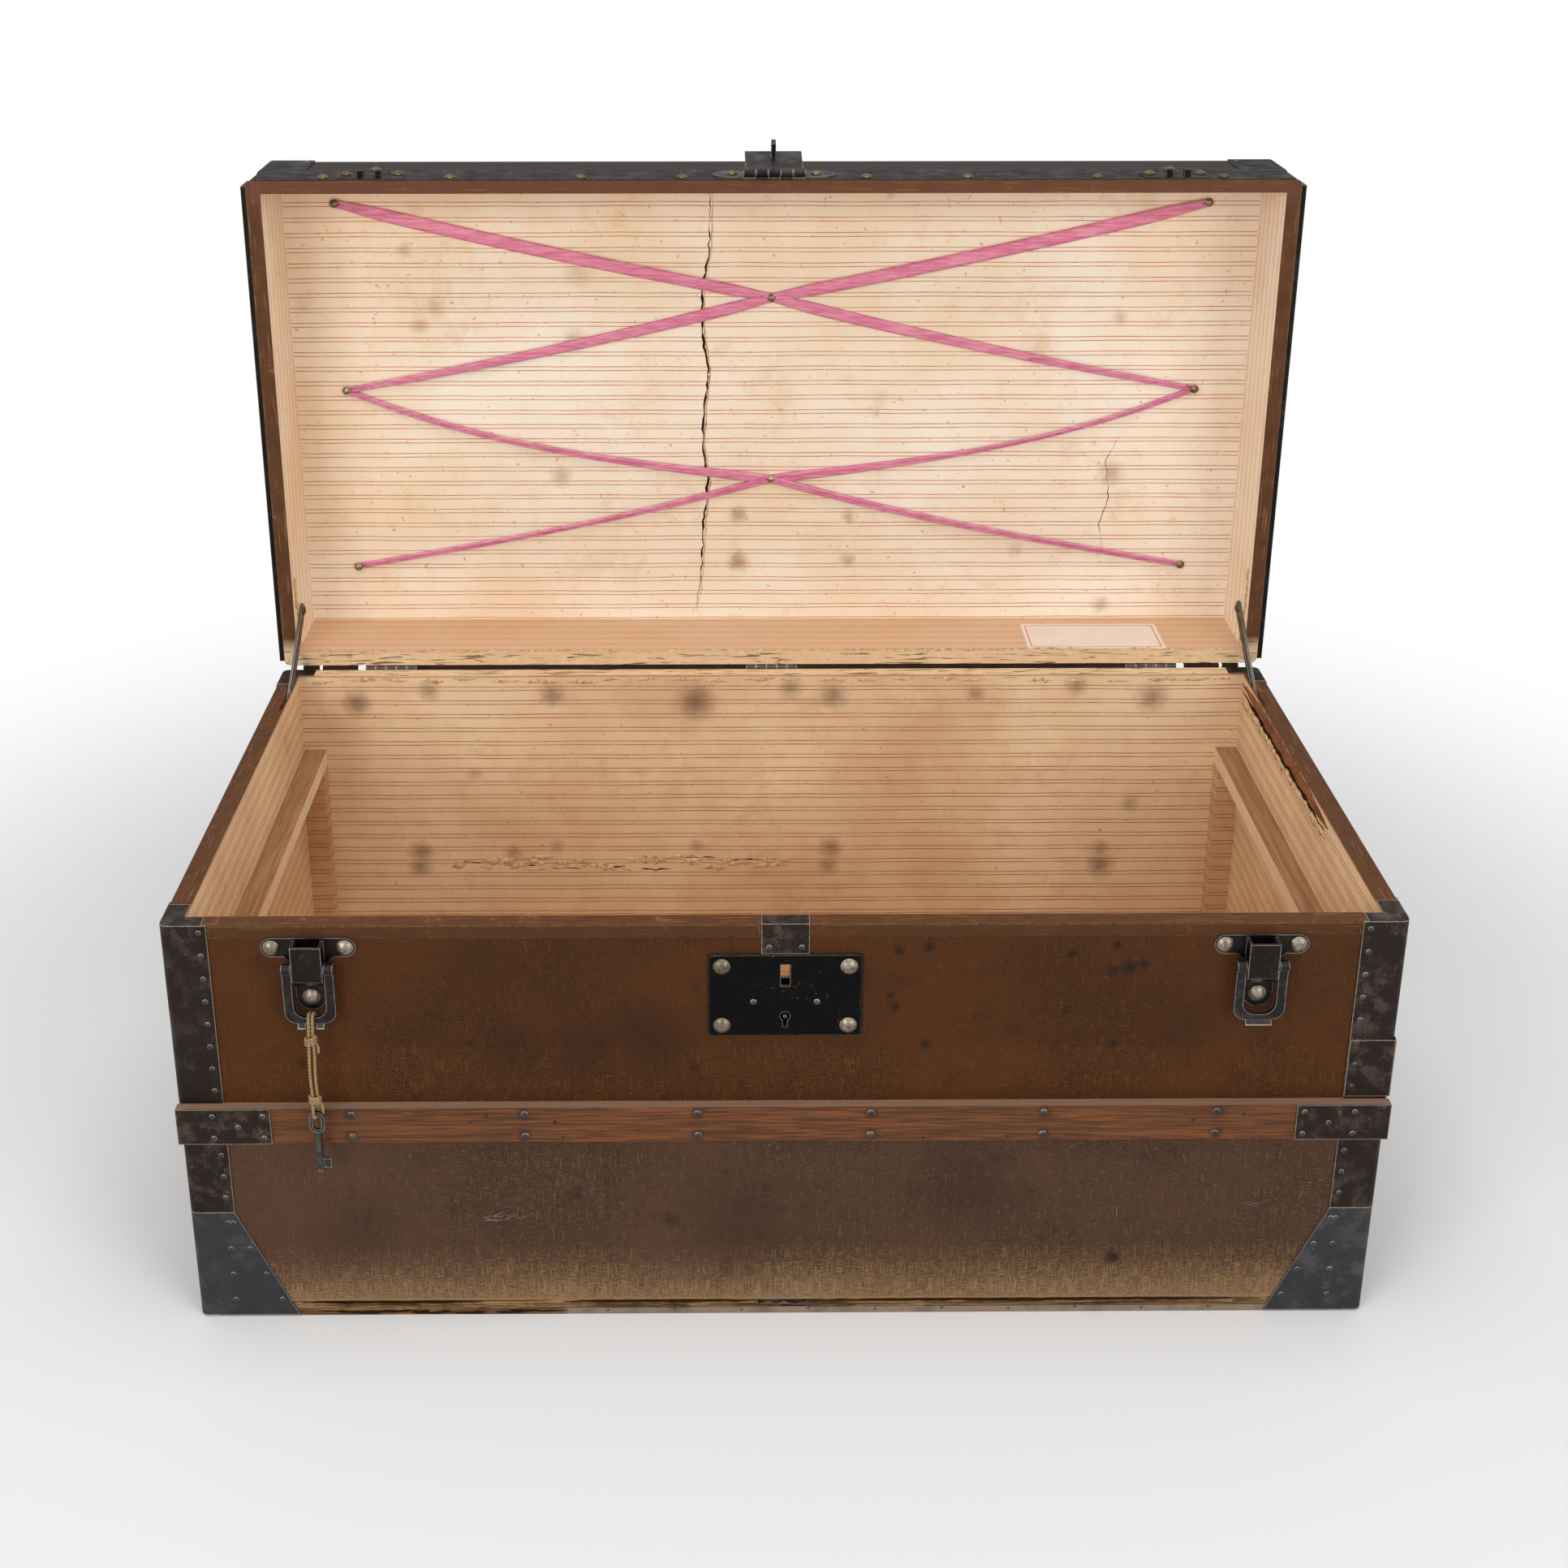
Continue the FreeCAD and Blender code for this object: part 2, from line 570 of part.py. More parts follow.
def bail():
    """A U of flat bar with eyes at its ends and a finger lip under its middle."""
    bar_z = bail_pin_z - BAIL_REACH
    y0 = bail_pin_y - BAIL_T / 2
    y1 = bail_pin_y + BAIL_T / 2
    inner = BAIL_IN_W / 2
    lip_z = bar_z - BAIL_BAR_H
    outside = lower_rounded(box(-bail_end, bail_end, y0, y1, lip_z, bail_pin_z), BAIL_OUTER_R)
    inside = lower_rounded(box(-inner, inner, y0, y1, bar_z, bail_pin_z), BAIL_INNER_R)
    lip_x = bail_end - BAIL_OUTER_R
    pieces = [outside.cut(inside)]
    for x0 in (-bail_end, inner):
        pieces.append(rod(x0, bail_pin_y, bail_pin_z, X_AXIS, BAIL_EYE_R, BAIL_ARM_W))
    lip_z0 = lip_z - BAIL_LIP_H
    lip = [(-lip_x, y0, lip_z), (-lip_x, y1, lip_z), (-lip_x, y1 - BAIL_LIP_OUT, lip_z0),
           (-lip_x, y0 - BAIL_LIP_OUT, lip_z0)]
    pieces.append(prism(lip, Vector(2 * lip_x, 0, 0)))
    bore = rod(-bail_end, bail_pin_y, bail_pin_z, X_AXIS, BAIL_PIN_D / 2 + PIN_CLEAR, 2 * bail_end)
    return joined(pieces).cut(bore)


def lower_rounded(block, radius):
    """A block with its two lower edges along Y rounded."""
    floor = block.BoundBox.ZMin
    edges = [e for e in block.Edges if e.BoundBox.ZMax < floor + radius and e.BoundBox.XLength < radius]
    return block.makeFillet(radius, edges)


def moved(shape, x):
    return shape.translated(Vector(x, 0, 0))


lip_top = bail_pin_z - BAIL_REACH - BAIL_BAR_H
notch_half = (TWINE_SPREAD + TWINE_D) / 2 + TWINE_NOTCH_CLEAR
twine_notch = box(-notch_half, notch_half, bail_pin_y - BAIL_T - BAIL_LIP_OUT, bail_pin_y + BAIL_T,
                  lip_top - BAIL_LIP_H, lip_top)
bail_pin = rod(-bail_end, bail_pin_y, bail_pin_z, X_AXIS, BAIL_PIN_D / 2, 2 * bail_end)
catch_places = (-CATCH_X, CATCH_X)
for x in catch_places:
    for dx in (-CATCH_RIVET_DX, CATCH_RIVET_DX):
        body_rivets.append(dome(x + dx, catch_y, RIM_Z - CATCH_RIVET_BELOW, -Y_AXIS, RIVET_D, RIVET_H))
    body_rivets.append(dome(x, catch_y, RIM_Z - CATCH_FOOT_RIVET_BELOW, -Y_AXIS, RIVET_D, RIVET_H))

# Lid stays: a slotted bar from the lid pivot past the guide pin, in a pocket of the end board
pivot_y = HINGE_Y + STAY_BACK
pivot_z = HINGE_Z + STAY_UP
stay_r = math.hypot(STAY_BACK, STAY_UP)
guide_y = HINGE_Y - math.sqrt(stay_r**2 - STAY_GUIDE_DOWN**2)
guide_z = HINGE_Z - STAY_GUIDE_DOWN
chord_open = math.hypot(pivot_y - guide_y, pivot_z - guide_z)
chord_shut = math.hypot(STAY_UP - HINGE_Y + guide_y, STAY_BACK + STAY_GUIDE_DOWN)
stay_len = chord_open + STAY_END
stay_x1 = LID_INNER_X - LID_LINING - STAY_CLEAR
stay_x0 = stay_x1 - STAY_T
slot_r = STAY_PIN_D / 2 + STAY_SLOT_CLEAR
stay_half = STAY_W / 2
blade = [
    box(stay_x0, stay_x1, -stay_half, stay_half, -stay_len, 0),
    rod(stay_x0, 0, 0, X_AXIS, stay_half, STAY_T),
    rod(stay_x0, 0, -stay_len, X_AXIS, stay_half, STAY_T),
]
slot_tool = joined(
    [
        box(stay_x0, stay_x1, -slot_r, slot_r, -chord_open, -chord_shut),
        rod(stay_x0, 0, -chord_open, X_AXIS, slot_r, STAY_T),
        rod(stay_x0, 0, -chord_shut, X_AXIS, slot_r, STAY_T),
    ]
)
pivot_bore = rod(stay_x0, 0, 0, X_AXIS, STAY_PIN_D / 2 + PIN_CLEAR, STAY_T)
right_stay = joined(blade).cut(slot_tool).cut(pivot_bore)
stay_tilt = math.degrees(math.atan2(guide_y - pivot_y, pivot_z - guide_z))
right_stay.rotate(Vector(0, 0, 0), X_AXIS, stay_tilt)
right_stay.translate(Vector(0, pivot_y, pivot_z))
stay_tail = []
for i in range(STAY_STEPS + 1):
    turn = math.radians(OPEN_ANGLE * i / STAY_STEPS)
    a_y = STAY_BACK * math.cos(turn) - STAY_UP * math.sin(turn) + HINGE_Y
    a_z = STAY_BACK * math.sin(turn) + STAY_UP * math.cos(turn) + HINGE_Z
    chord = math.hypot(a_y - guide_y, a_z - guide_z)
    reach = (stay_len + stay_half) / chord
    stay_tail.append((a_y + (guide_y - a_y) * reach, a_z + (guide_z - a_z) * reach))
    stay_tail.append((a_y + (guide_y - a_y) * (a_z - RIM_Z) / (a_z - guide_z) + stay_half, RIM_Z))
slot_y0 = min(y for y, z in stay_tail) - stay_half - POCKET_MARGIN
slot_y1 = max(y for y, z in stay_tail) + stay_half + POCKET_MARGIN
slot_bottom = min(z for y, z in stay_tail) - POCKET_MARGIN
stay_pocket = box(INNER_X, stay_x1 + 2 * STAY_CLEAR, slot_y0, slot_y1, slot_bottom, RIM_Z)
right_end_board = right_end_board.cut(stay_pocket)
guide_pin = rod(INNER_X, guide_y, guide_z, X_AXIS, STAY_PIN_D / 2, stay_x1 + 2 * STAY_CLEAR - INNER_X)
pivot_head_x = stay_x0 - STAY_CLEAR
stay_pivot = joined(
    [
        rod(pivot_head_x, pivot_y, pivot_z, X_AXIS, STAY_PIN_D / 2, LID_INNER_X - LID_LINING - pivot_head_x),
        dome(pivot_head_x, pivot_y, pivot_z, -X_AXIS, 2 * STAY_PIN_D, STAY_T),
    ]
)
stay_pockets = group([stay_pocket, mirrored(stay_pocket)])
corner_bands = [piece.cut(stay_pockets) for piece in four_corners(band)]
rim_binding = rim_ring
for tab in tabs + [strap_top, stay_pockets]:
    rim_binding = rim_binding.cut(tab)

# Tray rails along the ends, on posts in the corners
rail_z1 = RIM_Z - RAIL_BELOW_RIM
rail = box(lining_x - RAIL_W, lining_x, -lining_y, lining_y, rail_z1 - RAIL_H, rail_z1)
post_z0 = floor_z + LINING
post = box(lining_x - RAIL_W, lining_x, -lining_y, -lining_y + POST_D, post_z0, rail_z1 - RAIL_H)


# Back hinges: three knuckles on the body and two on the lid, round a pin
def knuckle_row(x, first, length, count, gap):
    """The X ranges of every second knuckle of a row."""
    step = length / count
    start = x - length / 2
    return [(start + i * step + gap / 2, start + (i + 1) * step - gap / 2) for i in range(first, count, 2)]


def hinge_leaf(x, first, up):
    side = 1 if up else -1
    z_near = HINGE_Z + side * (HINGE_OFF + KNUCKLE_GAP)
    z_far = HINGE_Z + side * HINGE_LEAF_H
    y1 = HALF_D + HINGE_LEAF_T
    pieces = [box(x - HINGE_L / 2, x + HINGE_L / 2, HALF_D, y1, *sorted((z_near, z_far)))]
    for x0, x1 in knuckle_row(x, first, HINGE_L, KNUCKLES, KNUCKLE_GAP):
        pieces.append(box(x0, x1, HALF_D + HINGE_OFF - HINGE_R, y1, *sorted((HINGE_Z, z_near))))
        pieces.append(rod(x0, HINGE_Y, HINGE_Z, X_AXIS, HINGE_R, x1 - x0))
    bore = rod(x - HINGE_L, HINGE_Y, HINGE_Z, X_AXIS, HINGE_PIN_D / 2 + PIN_CLEAR, 2 * HINGE_L)
    return joined(pieces).cut(bore)


body_leaves = [hinge_leaf(x, 0, False) for x in HINGE_X]
lid_leaves = [hinge_leaf(x, 1, True) for x in HINGE_X]
hinge_pins = [rod(x - HINGE_L / 2, HINGE_Y, HINGE_Z, X_AXIS, HINGE_PIN_D / 2, HINGE_L) for x in HINGE_X]
lid_nails = []
leaf_y = HALF_D + HINGE_LEAF_T
for x in HINGE_X:
    for dx in (-HINGE_L / 3, 0, HINGE_L / 3):
        for away in HINGE_NAIL_ROWS:
            steel_nails.append(nail(x + dx, leaf_y, HINGE_Z - away, Y_AXIS))
            lid_nails.append(nail(x + dx, leaf_y, HINGE_Z + away, Y_AXIS))

# Lid boards, canvas, lining and rim binding
lid_board_z0 = LID_Z0 + BINDING
lid_board_z1 = LID_Z1 - CANVAS
lid_block = rounded(BODY_W - 2 * CANVAS, BODY_D - 2 * CANVAS, CORNER_R - CANVAS, lid_board_z0, lid_board_z1)
lid_front_board = box(-HALF_W, HALF_W, FRONT, -LID_INNER_Y, lid_board_z0, lid_board_z1).common(lid_block)
lid_back_board = lid_front_board.mirror(Vector(0, 0, 0), Y_AXIS)
lid_end = box(LID_INNER_X, HALF_W, -LID_INNER_Y, LID_INNER_Y, lid_board_z0, lid_board_z1)
lid_right_board = lid_end.common(lid_block)
lid_top_board = box(-LID_INNER_X, LID_INNER_X, -LID_INNER_Y, LID_INNER_Y, LID_PANEL_Z, lid_board_z1)
lid_outer = rounded(BODY_W, BODY_D, CORNER_R, lid_board_z0, LID_Z1)
lid_canvas = lid_outer.cut(lid_block)
lid_face = LID_PANEL_Z - LID_LINING
lid_lining_x = LID_INNER_X - LID_LINING
lid_lining_y = LID_INNER_Y - LID_LINING
lid_front_lining = box(-LID_INNER_X, LID_INNER_X, -LID_INNER_Y, -lid_lining_y, lid_board_z0, lid_face)
lid_right_lining = box(lid_lining_x, LID_INNER_X, -lid_lining_y, lid_lining_y, lid_board_z0, lid_face)
lid_linings = [
    box(-LID_INNER_X, LID_INNER_X, -LID_INNER_Y, LID_INNER_Y, lid_face, LID_PANEL_Z),
    lid_front_lining,
    lid_front_lining.mirror(Vector(0, 0, 0), Y_AXIS),
    lid_right_lining,
    mirrored(lid_right_lining),
]
lid_rim_hollow = box(-lid_lining_x, lid_lining_x, -lid_lining_y, lid_lining_y, LID_Z0, lid_board_z0)
lid_rim_binding = rounded(BODY_W, BODY_D, CORNER_R, LID_Z0, lid_board_z0).cut(lid_rim_hollow)

# Lid trim: front band, end edge strips and corner caps
band_z0 = LID_Z0 + LID_BAND_UP
lid_band_x = HALF_W - CORNER_R
lid_front_band = box(-lid_band_x, lid_band_x, FRONT - STEEL, FRONT, band_z0, band_z0 + LID_BAND_H)
strip_y = HALF_D - CORNER_R
edge_strip = box(HALF_W, HALF_W + EDGE_STRIP_T, -strip_y, strip_y, LID_Z0, LID_Z0 + EDGE_STRIP_H)
lid_cap_z0 = LID_Z1 - LID_CAP_H
cap_block = rounded(BODY_W + 2 * STEEL, BODY_D + 2 * STEEL, CORNER_R + STEEL, lid_cap_z0, LID_Z1 + STEEL)
cap_shell = cap_block.cut(lid_outer)
cap_corner = box(HALF_W - LID_CAP, HALF_W + STEEL, FRONT - STEEL, FRONT + LID_CAP, 0, LID_Z1 + STEEL)
lid_cap = cap_shell.common(cap_corner)
lid_band_y = FRONT - STEEL
lid_rivets = []
for x in LID_RIVET_FROM_MIDDLE + tuple(HALF_W - away for away in LID_RIVET_FROM_END):
    for sx in (-1, 1):
        lid_rivets.append(dome(sx * x, lid_band_y, LID_Z0 + LID_RIVET_UP, -Y_AXIS, LID_RIVET_D, LID_RIVET_H))
lid_cap_nails = [nail(HALF_W - LID_CAP + NAIL_INSET, lid_band_y, LID_Z1 - CANVAS - NAIL_INSET, -Y_AXIS),
                 nail(HALF_W + STEEL, FRONT + LID_CAP - NAIL_INSET, LID_Z1 - CANVAS - NAIL_INSET, X_AXIS),
                 nail(HALF_W - NAIL_INSET, FRONT + LID_CAP - NAIL_INSET, LID_Z1 + STEEL, Z_AXIS)]
for piece in lid_cap_nails:
    lid_nails += four_corners(piece)


# Keepers: a T plate with a forked hook that the bail's bar drops behind
def keeper():
    y0 = lid_band_y - PLATE_T
    half = KEEPER_W / 2
    bar = box(-half, half, y0, lid_band_y, band_z0, band_z0 + KEEPER_RIVET_UP + LID_RIVET_D / 2)
    stem = box(-KEEPER_SPAN / 2, KEEPER_SPAN / 2, y0, lid_band_y, band_z0, band_z0 + KEEPER_H)
    pieces = [bar, stem]
    round_r = BAIL_INNER_R - KEEPER_CLEAR
    round_z = bail_pin_z + BAIL_REACH - BAIL_INNER_R
    prong_y = FRONT - KEEPER_PRONG_OFF
    for sx in (-1, 1):
        prong_x = sorted((sx * KEEPER_GAP / 2, sx * KEEPER_SPAN / 2))
        curve = rod(sx * (BAIL_IN_W / 2 - BAIL_INNER_R), prong_y, round_z, Y_AXIS, round_r, y0 - prong_y)
        pieces.append(box(*prong_x, prong_y, y0, band_z0, round_z + round_r).common(curve))
    return joined(pieces)


keeper_y = lid_band_y - PLATE_T
for x in catch_places:
    for dx in (-KEEPER_RIVET_DX, KEEPER_RIVET_DX):
        lid_rivets.append(dome(x + dx, keeper_y, LID_Z0 + KEEPER_RIVET_UP, -Y_AXIS, LID_RIVET_D, LID_RIVET_H))
    lid_rivets.append(dome(x, keeper_y, LID_Z0 + KEEPER_TOP_RIVET_UP, -Y_AXIS, LID_RIVET_D, LID_RIVET_H))

# Hasp: plate and flap share a knuckle row; the flap carries the staple that the bolt passes through
hasp_bore = rod(-HASP_ROW, hasp_pin_y, hasp_pin_z, X_AXIS, HASP_PIN_D / 2 + PIN_CLEAR, 2 * HASP_ROW)
hasp_z0 = hasp_pin_z + HASP_KNUCKLE_R
hasp_mid = hasp_z0 + HASP_PLATE_H / 2
hasp_back = lid_band_y - PLATE_T
hasp_half = HASP_PLATE_W / 2 - HASP_PLATE_H / 2
hasp_pieces = [box(-hasp_half, hasp_half, hasp_back, lid_band_y, hasp_z0, hasp_z0 + HASP_PLATE_H)]
for sx in (-1, 1):
    hasp_pieces.append(rod(sx * hasp_half, hasp_back, hasp_mid, Y_AXIS, HASP_PLATE_H / 2, PLATE_T))
for x0, x1 in knuckle_row(0, 0, HASP_ROW, KNUCKLES, KNUCKLE_GAP):
    hasp_pieces.append(box(x0, x1, hasp_pin_y, lid_band_y, hasp_pin_z, hasp_z0))
    hasp_pieces.append(rod(x0, hasp_pin_y, hasp_pin_z, X_AXIS, HASP_KNUCKLE_R, x1 - x0))
hasp_plate = joined(hasp_pieces).cut(hasp_bore)
hasp_pin = rod(-HASP_ROW / 2, hasp_pin_y, hasp_pin_z, X_AXIS, HASP_PIN_D / 2, HASP_ROW)
flap_y0 = hasp_pin_y - HASP_T / 2
flap_y1 = hasp_pin_y + HASP_T / 2
flap_top = hasp_pin_z - HASP_KNUCKLE_R - KNUCKLE_GAP
flap_pieces = [box(-HASP_FLAP_W / 2, HASP_FLAP_W / 2, flap_y0, flap_y1, hasp_pin_z - HASP_FLAP_L, flap_top)]
for x0, x1 in knuckle_row(0, 1, HASP_ROW, KNUCKLES, KNUCKLE_GAP):
    flap_pieces.append(box(x0, x1, flap_y0, flap_y1, flap_top, hasp_pin_z))
    flap_pieces.append(rod(x0, hasp_pin_y, hasp_pin_z, X_AXIS, HASP_KNUCKLE_R, x1 - x0))
staple = box(-STAPLE_T / 2, STAPLE_T / 2, flap_y1, staple_tip,
             staple_z - STAPLE_H / 2, staple_z + STAPLE_H / 2)
eye = box(-STAPLE_T, STAPLE_T, bolt_y0 - BOLT_CLEAR, bolt_y1 + BOLT_CLEAR,
          bolt_z0 - BOLT_CLEAR, bolt_z1 + BOLT_CLEAR)
hasp_flap = joined(flap_pieces + [staple.cut(eye)]).cut(hasp_bore)
hasp_flap.rotate(Vector(0, hasp_pin_y, hasp_pin_z), X_AXIS, -HASP_FOLD)
for sx in (-1, 1):
    lid_rivets.append(dome(sx * HASP_RIVET_DX, hasp_back, hasp_mid, -Y_AXIS, LID_RIVET_D, LID_RIVET_H))

# Two ribbons zigzag over the lid panel between nails
ribbon_x = LID_INNER_X - RIBBON_FROM_END
first_row = -LID_INNER_Y + RIBBON_FROM_FRONT
last_row = LID_INNER_Y - RIBBON_FROM_BACK
ribbon_rows = [first_row + (last_row - first_row) * i / RIBBON_RUNS for i in range(RIBBON_RUNS + 1)]
ribbon_path = list(zip((-ribbon_x, 0, ribbon_x, 0, -ribbon_x), ribbon_rows))
nail_spots = [(sx * ribbon_x, y) for sx in (-1, 1) for y in ribbon_rows[::2]]
nail_spots += [(0, y) for y in ribbon_rows[1::2]]
layer = RIBBON_T + RIBBON_GAP


def ribbon(path, z):
    pieces = []
    for (xa, ya), (xb, yb) in zip(path, path[1:]):
        length = math.hypot(xb - xa, yb - ya)
        ox = (yb - ya) / length * RIBBON_W / 2
        oy = (xa - xb) / length * RIBBON_W / 2
        corners = [(xa + ox, ya + oy, z), (xb + ox, yb + oy, z), (xb - ox, yb - oy, z), (xa - ox, ya - oy, z)]
        pieces.append(prism(corners, Vector(0, 0, RIBBON_T)))
    pieces += [rod(x, y, z, Z_AXIS, RIBBON_W / 2, RIBBON_T) for x, y in path]
    shape = joined(pieces)
    for x, y in nail_spots:
        shape = shape.cut(rod(x, y, z, Z_AXIS, RIBBON_NAIL_SHANK / 2 + PIN_CLEAR, RIBBON_T))
    return shape


ribbons = [
    ribbon(ribbon_path, lid_face - layer),
    ribbon([(-x, y) for x, y in ribbon_path], lid_face - 2 * layer),
]
nail_base = lid_face - 2 * layer - RIBBON_GAP
ribbon_nails = []
for x, y in nail_spots:
    shank = rod(x, y, nail_base, Z_AXIS, RIBBON_NAIL_SHANK / 2, lid_face - nail_base)
    ribbon_nails.append(joined([shank, dome(x, y, nail_base, -Z_AXIS, RIBBON_NAIL_D, LID_RIVET_H)]))

# End handles: a leather loop hung on two pinned mounts
handle_z = RIM_Z - HANDLE_BELOW_RIM
handle_x = HALF_W + HANDLE_OFF
grip_z = handle_z - HANDLE_DROP
handle_eye_r = HANDLE_PIN_D / 2 + HANDLE_T / 2
handle_mounts = []
handle_pieces = [box(handle_x - HANDLE_T / 2, handle_x + HANDLE_T / 2, -HANDLE_HALF_SPAN - HANDLE_W / 2,
                     HANDLE_HALF_SPAN + HANDLE_W / 2, grip_z - HANDLE_GRIP_H / 2, grip_z + HANDLE_GRIP_H / 2)]
grip_edges = [e for e in handle_pieces[0].Edges if abs(e.tangentAt(e.FirstParameter).y) > 0.9]
handle_pieces[0] = handle_pieces[0].makeFillet(HANDLE_ROUND, grip_edges)
for sy in (-1, 1):
    y0 = sy * HANDLE_HALF_SPAN - HANDLE_W / 2
    y1 = y0 + HANDLE_W
    handle_pieces.append(box(handle_x - HANDLE_T / 2, handle_x + HANDLE_T / 2, y0, y1, grip_z, handle_z))
    handle_pieces.append(rod(handle_x, y0, handle_z, Y_AXIS, handle_eye_r, HANDLE_W))
    ear_0 = y0 - EAR_GAP - EAR_T
    ear_1 = y1 + EAR_GAP + EAR_T
    foot = box(HALF_W, HALF_W + MOUNT_T, ear_0 - RIVET_D, ear_1 + RIVET_D,
               handle_z - MOUNT_H / 2, handle_z + MOUNT_H / 2)
    parts = [foot, rod(handle_x, ear_0, handle_z, Y_AXIS, HANDLE_PIN_D / 2, ear_1 - ear_0)]
    for ear in (ear_0, y1 + EAR_GAP):
        parts.append(box(HALF_W + MOUNT_T, handle_x, ear, ear + EAR_T,
                         handle_z - HANDLE_PIN_D, handle_z + HANDLE_PIN_D))
        parts.append(rod(handle_x, ear, handle_z, Y_AXIS, HANDLE_PIN_D, EAR_T))
    handle_mounts.append(joined(parts))
    for rivet_y in (ear_0 - RIVET_D / 2, ear_1 + RIVET_D / 2):
        for sz in (-1, 1):
            spot = (rivet_y, handle_z + sz * (MOUNT_H - RIVET_D) / 2)
            head = dome(HALF_W + MOUNT_T, *spot, X_AXIS, LID_RIVET_D, LID_RIVET_H)
            body_rivets += [head, mirrored(head)]
bore_half = HANDLE_HALF_SPAN + HANDLE_W
handle_bore = rod(handle_x, -bore_half, handle_z, Y_AXIS, HANDLE_PIN_D / 2 + PIN_CLEAR, 2 * bore_half)
right_handle = joined(handle_pieces).cut(handle_bore)

# Twine hitched round the left bail's bar, and the key that hangs on it
bar_z = bail_pin_z - BAIL_REACH - BAIL_BAR_H / 2
bar_half = math.hypot(BAIL_T, BAIL_BAR_H) / 2
twine_r = TWINE_D / 2
hitch_r = bar_half + STAY_CLEAR + twine_r
knot_z = bar_z - TWINE_DROP
string_y = bail_pin_y - TWINE_OUT
loop_z = knot_z - KNOT_R - KEY_LOOP_R
bow_top = loop_z - KEY_LOOP_R + twine_r + STAY_CLEAR + KEY_WIRE


def strand(start, end):
    line = end - start
    return Part.makeCylinder(twine_r, line.Length, start, line)


twine_pieces = [
    Part.makeTorus(hitch_r, twine_r, Vector(-CATCH_X, bail_pin_y, bar_z), X_AXIS),
    Part.makeSphere(KNOT_R, Vector(-CATCH_X, string_y, knot_z)),
    Part.makeTorus(KEY_LOOP_R, twine_r, Vector(-CATCH_X, string_y, loop_z), X_AXIS),
]
for sx in (-1, 1):
    top = Vector(-CATCH_X + sx * TWINE_SPREAD / 4, bail_pin_y - hitch_r, bar_z)
    middle = Vector(-CATCH_X + sx * TWINE_SPREAD / 2, string_y, (bar_z + knot_z) / 2)
    bottom = Vector(-CATCH_X, string_y, knot_z)
    twine_pieces += [strand(top, middle), Part.makeSphere(twine_r, middle), strand(middle, bottom)]
twine = joined(twine_pieces)


def stadium(width, height, thickness, z_top):
    """A flat upright plate with round ends, facing the front, at the key's place."""
    r = width / 2
    y0 = string_y - thickness / 2
    pieces = [box(-r, r, y0, y0 + thickness, z_top - height + r, z_top - r)]
    for z in (z_top - r, z_top - height + r):
        pieces.append(rod(0, y0, z, Y_AXIS, r, thickness))
    return joined(pieces)


bow_hole = stadium(KEY_BOW_W - 2 * KEY_WIRE, KEY_BOW_H - 2 * KEY_WIRE, KEY_WIRE, bow_top - KEY_WIRE)
bow = stadium(KEY_BOW_W, KEY_BOW_H, KEY_WIRE, bow_top).cut(bow_hole)
shank_z1 = bow_top - KEY_BOW_H + KEY_WIRE / 2
shank_z0 = shank_z1 - KEY_SHANK_L
shank = rod(0, string_y, shank_z0, Z_AXIS, KEY_SHANK_D / 2, KEY_SHANK_L)
key_bit = box(0, KEY_SHANK_D / 2 + KEY_BIT_W, string_y - KEY_BIT_T / 2, string_y + KEY_BIT_T / 2,
              shank_z0 + KEY_WIRE, shank_z0 + KEY_WIRE + KEY_BIT_H)
key_bore = rod(0, string_y, shank_z0, Z_AXIS, KEY_BORE / 2, KEY_BORE_L)
key = moved(joined([bow, shank.cut(bow_hole), key_bit]).cut(key_bore), -CATCH_X)

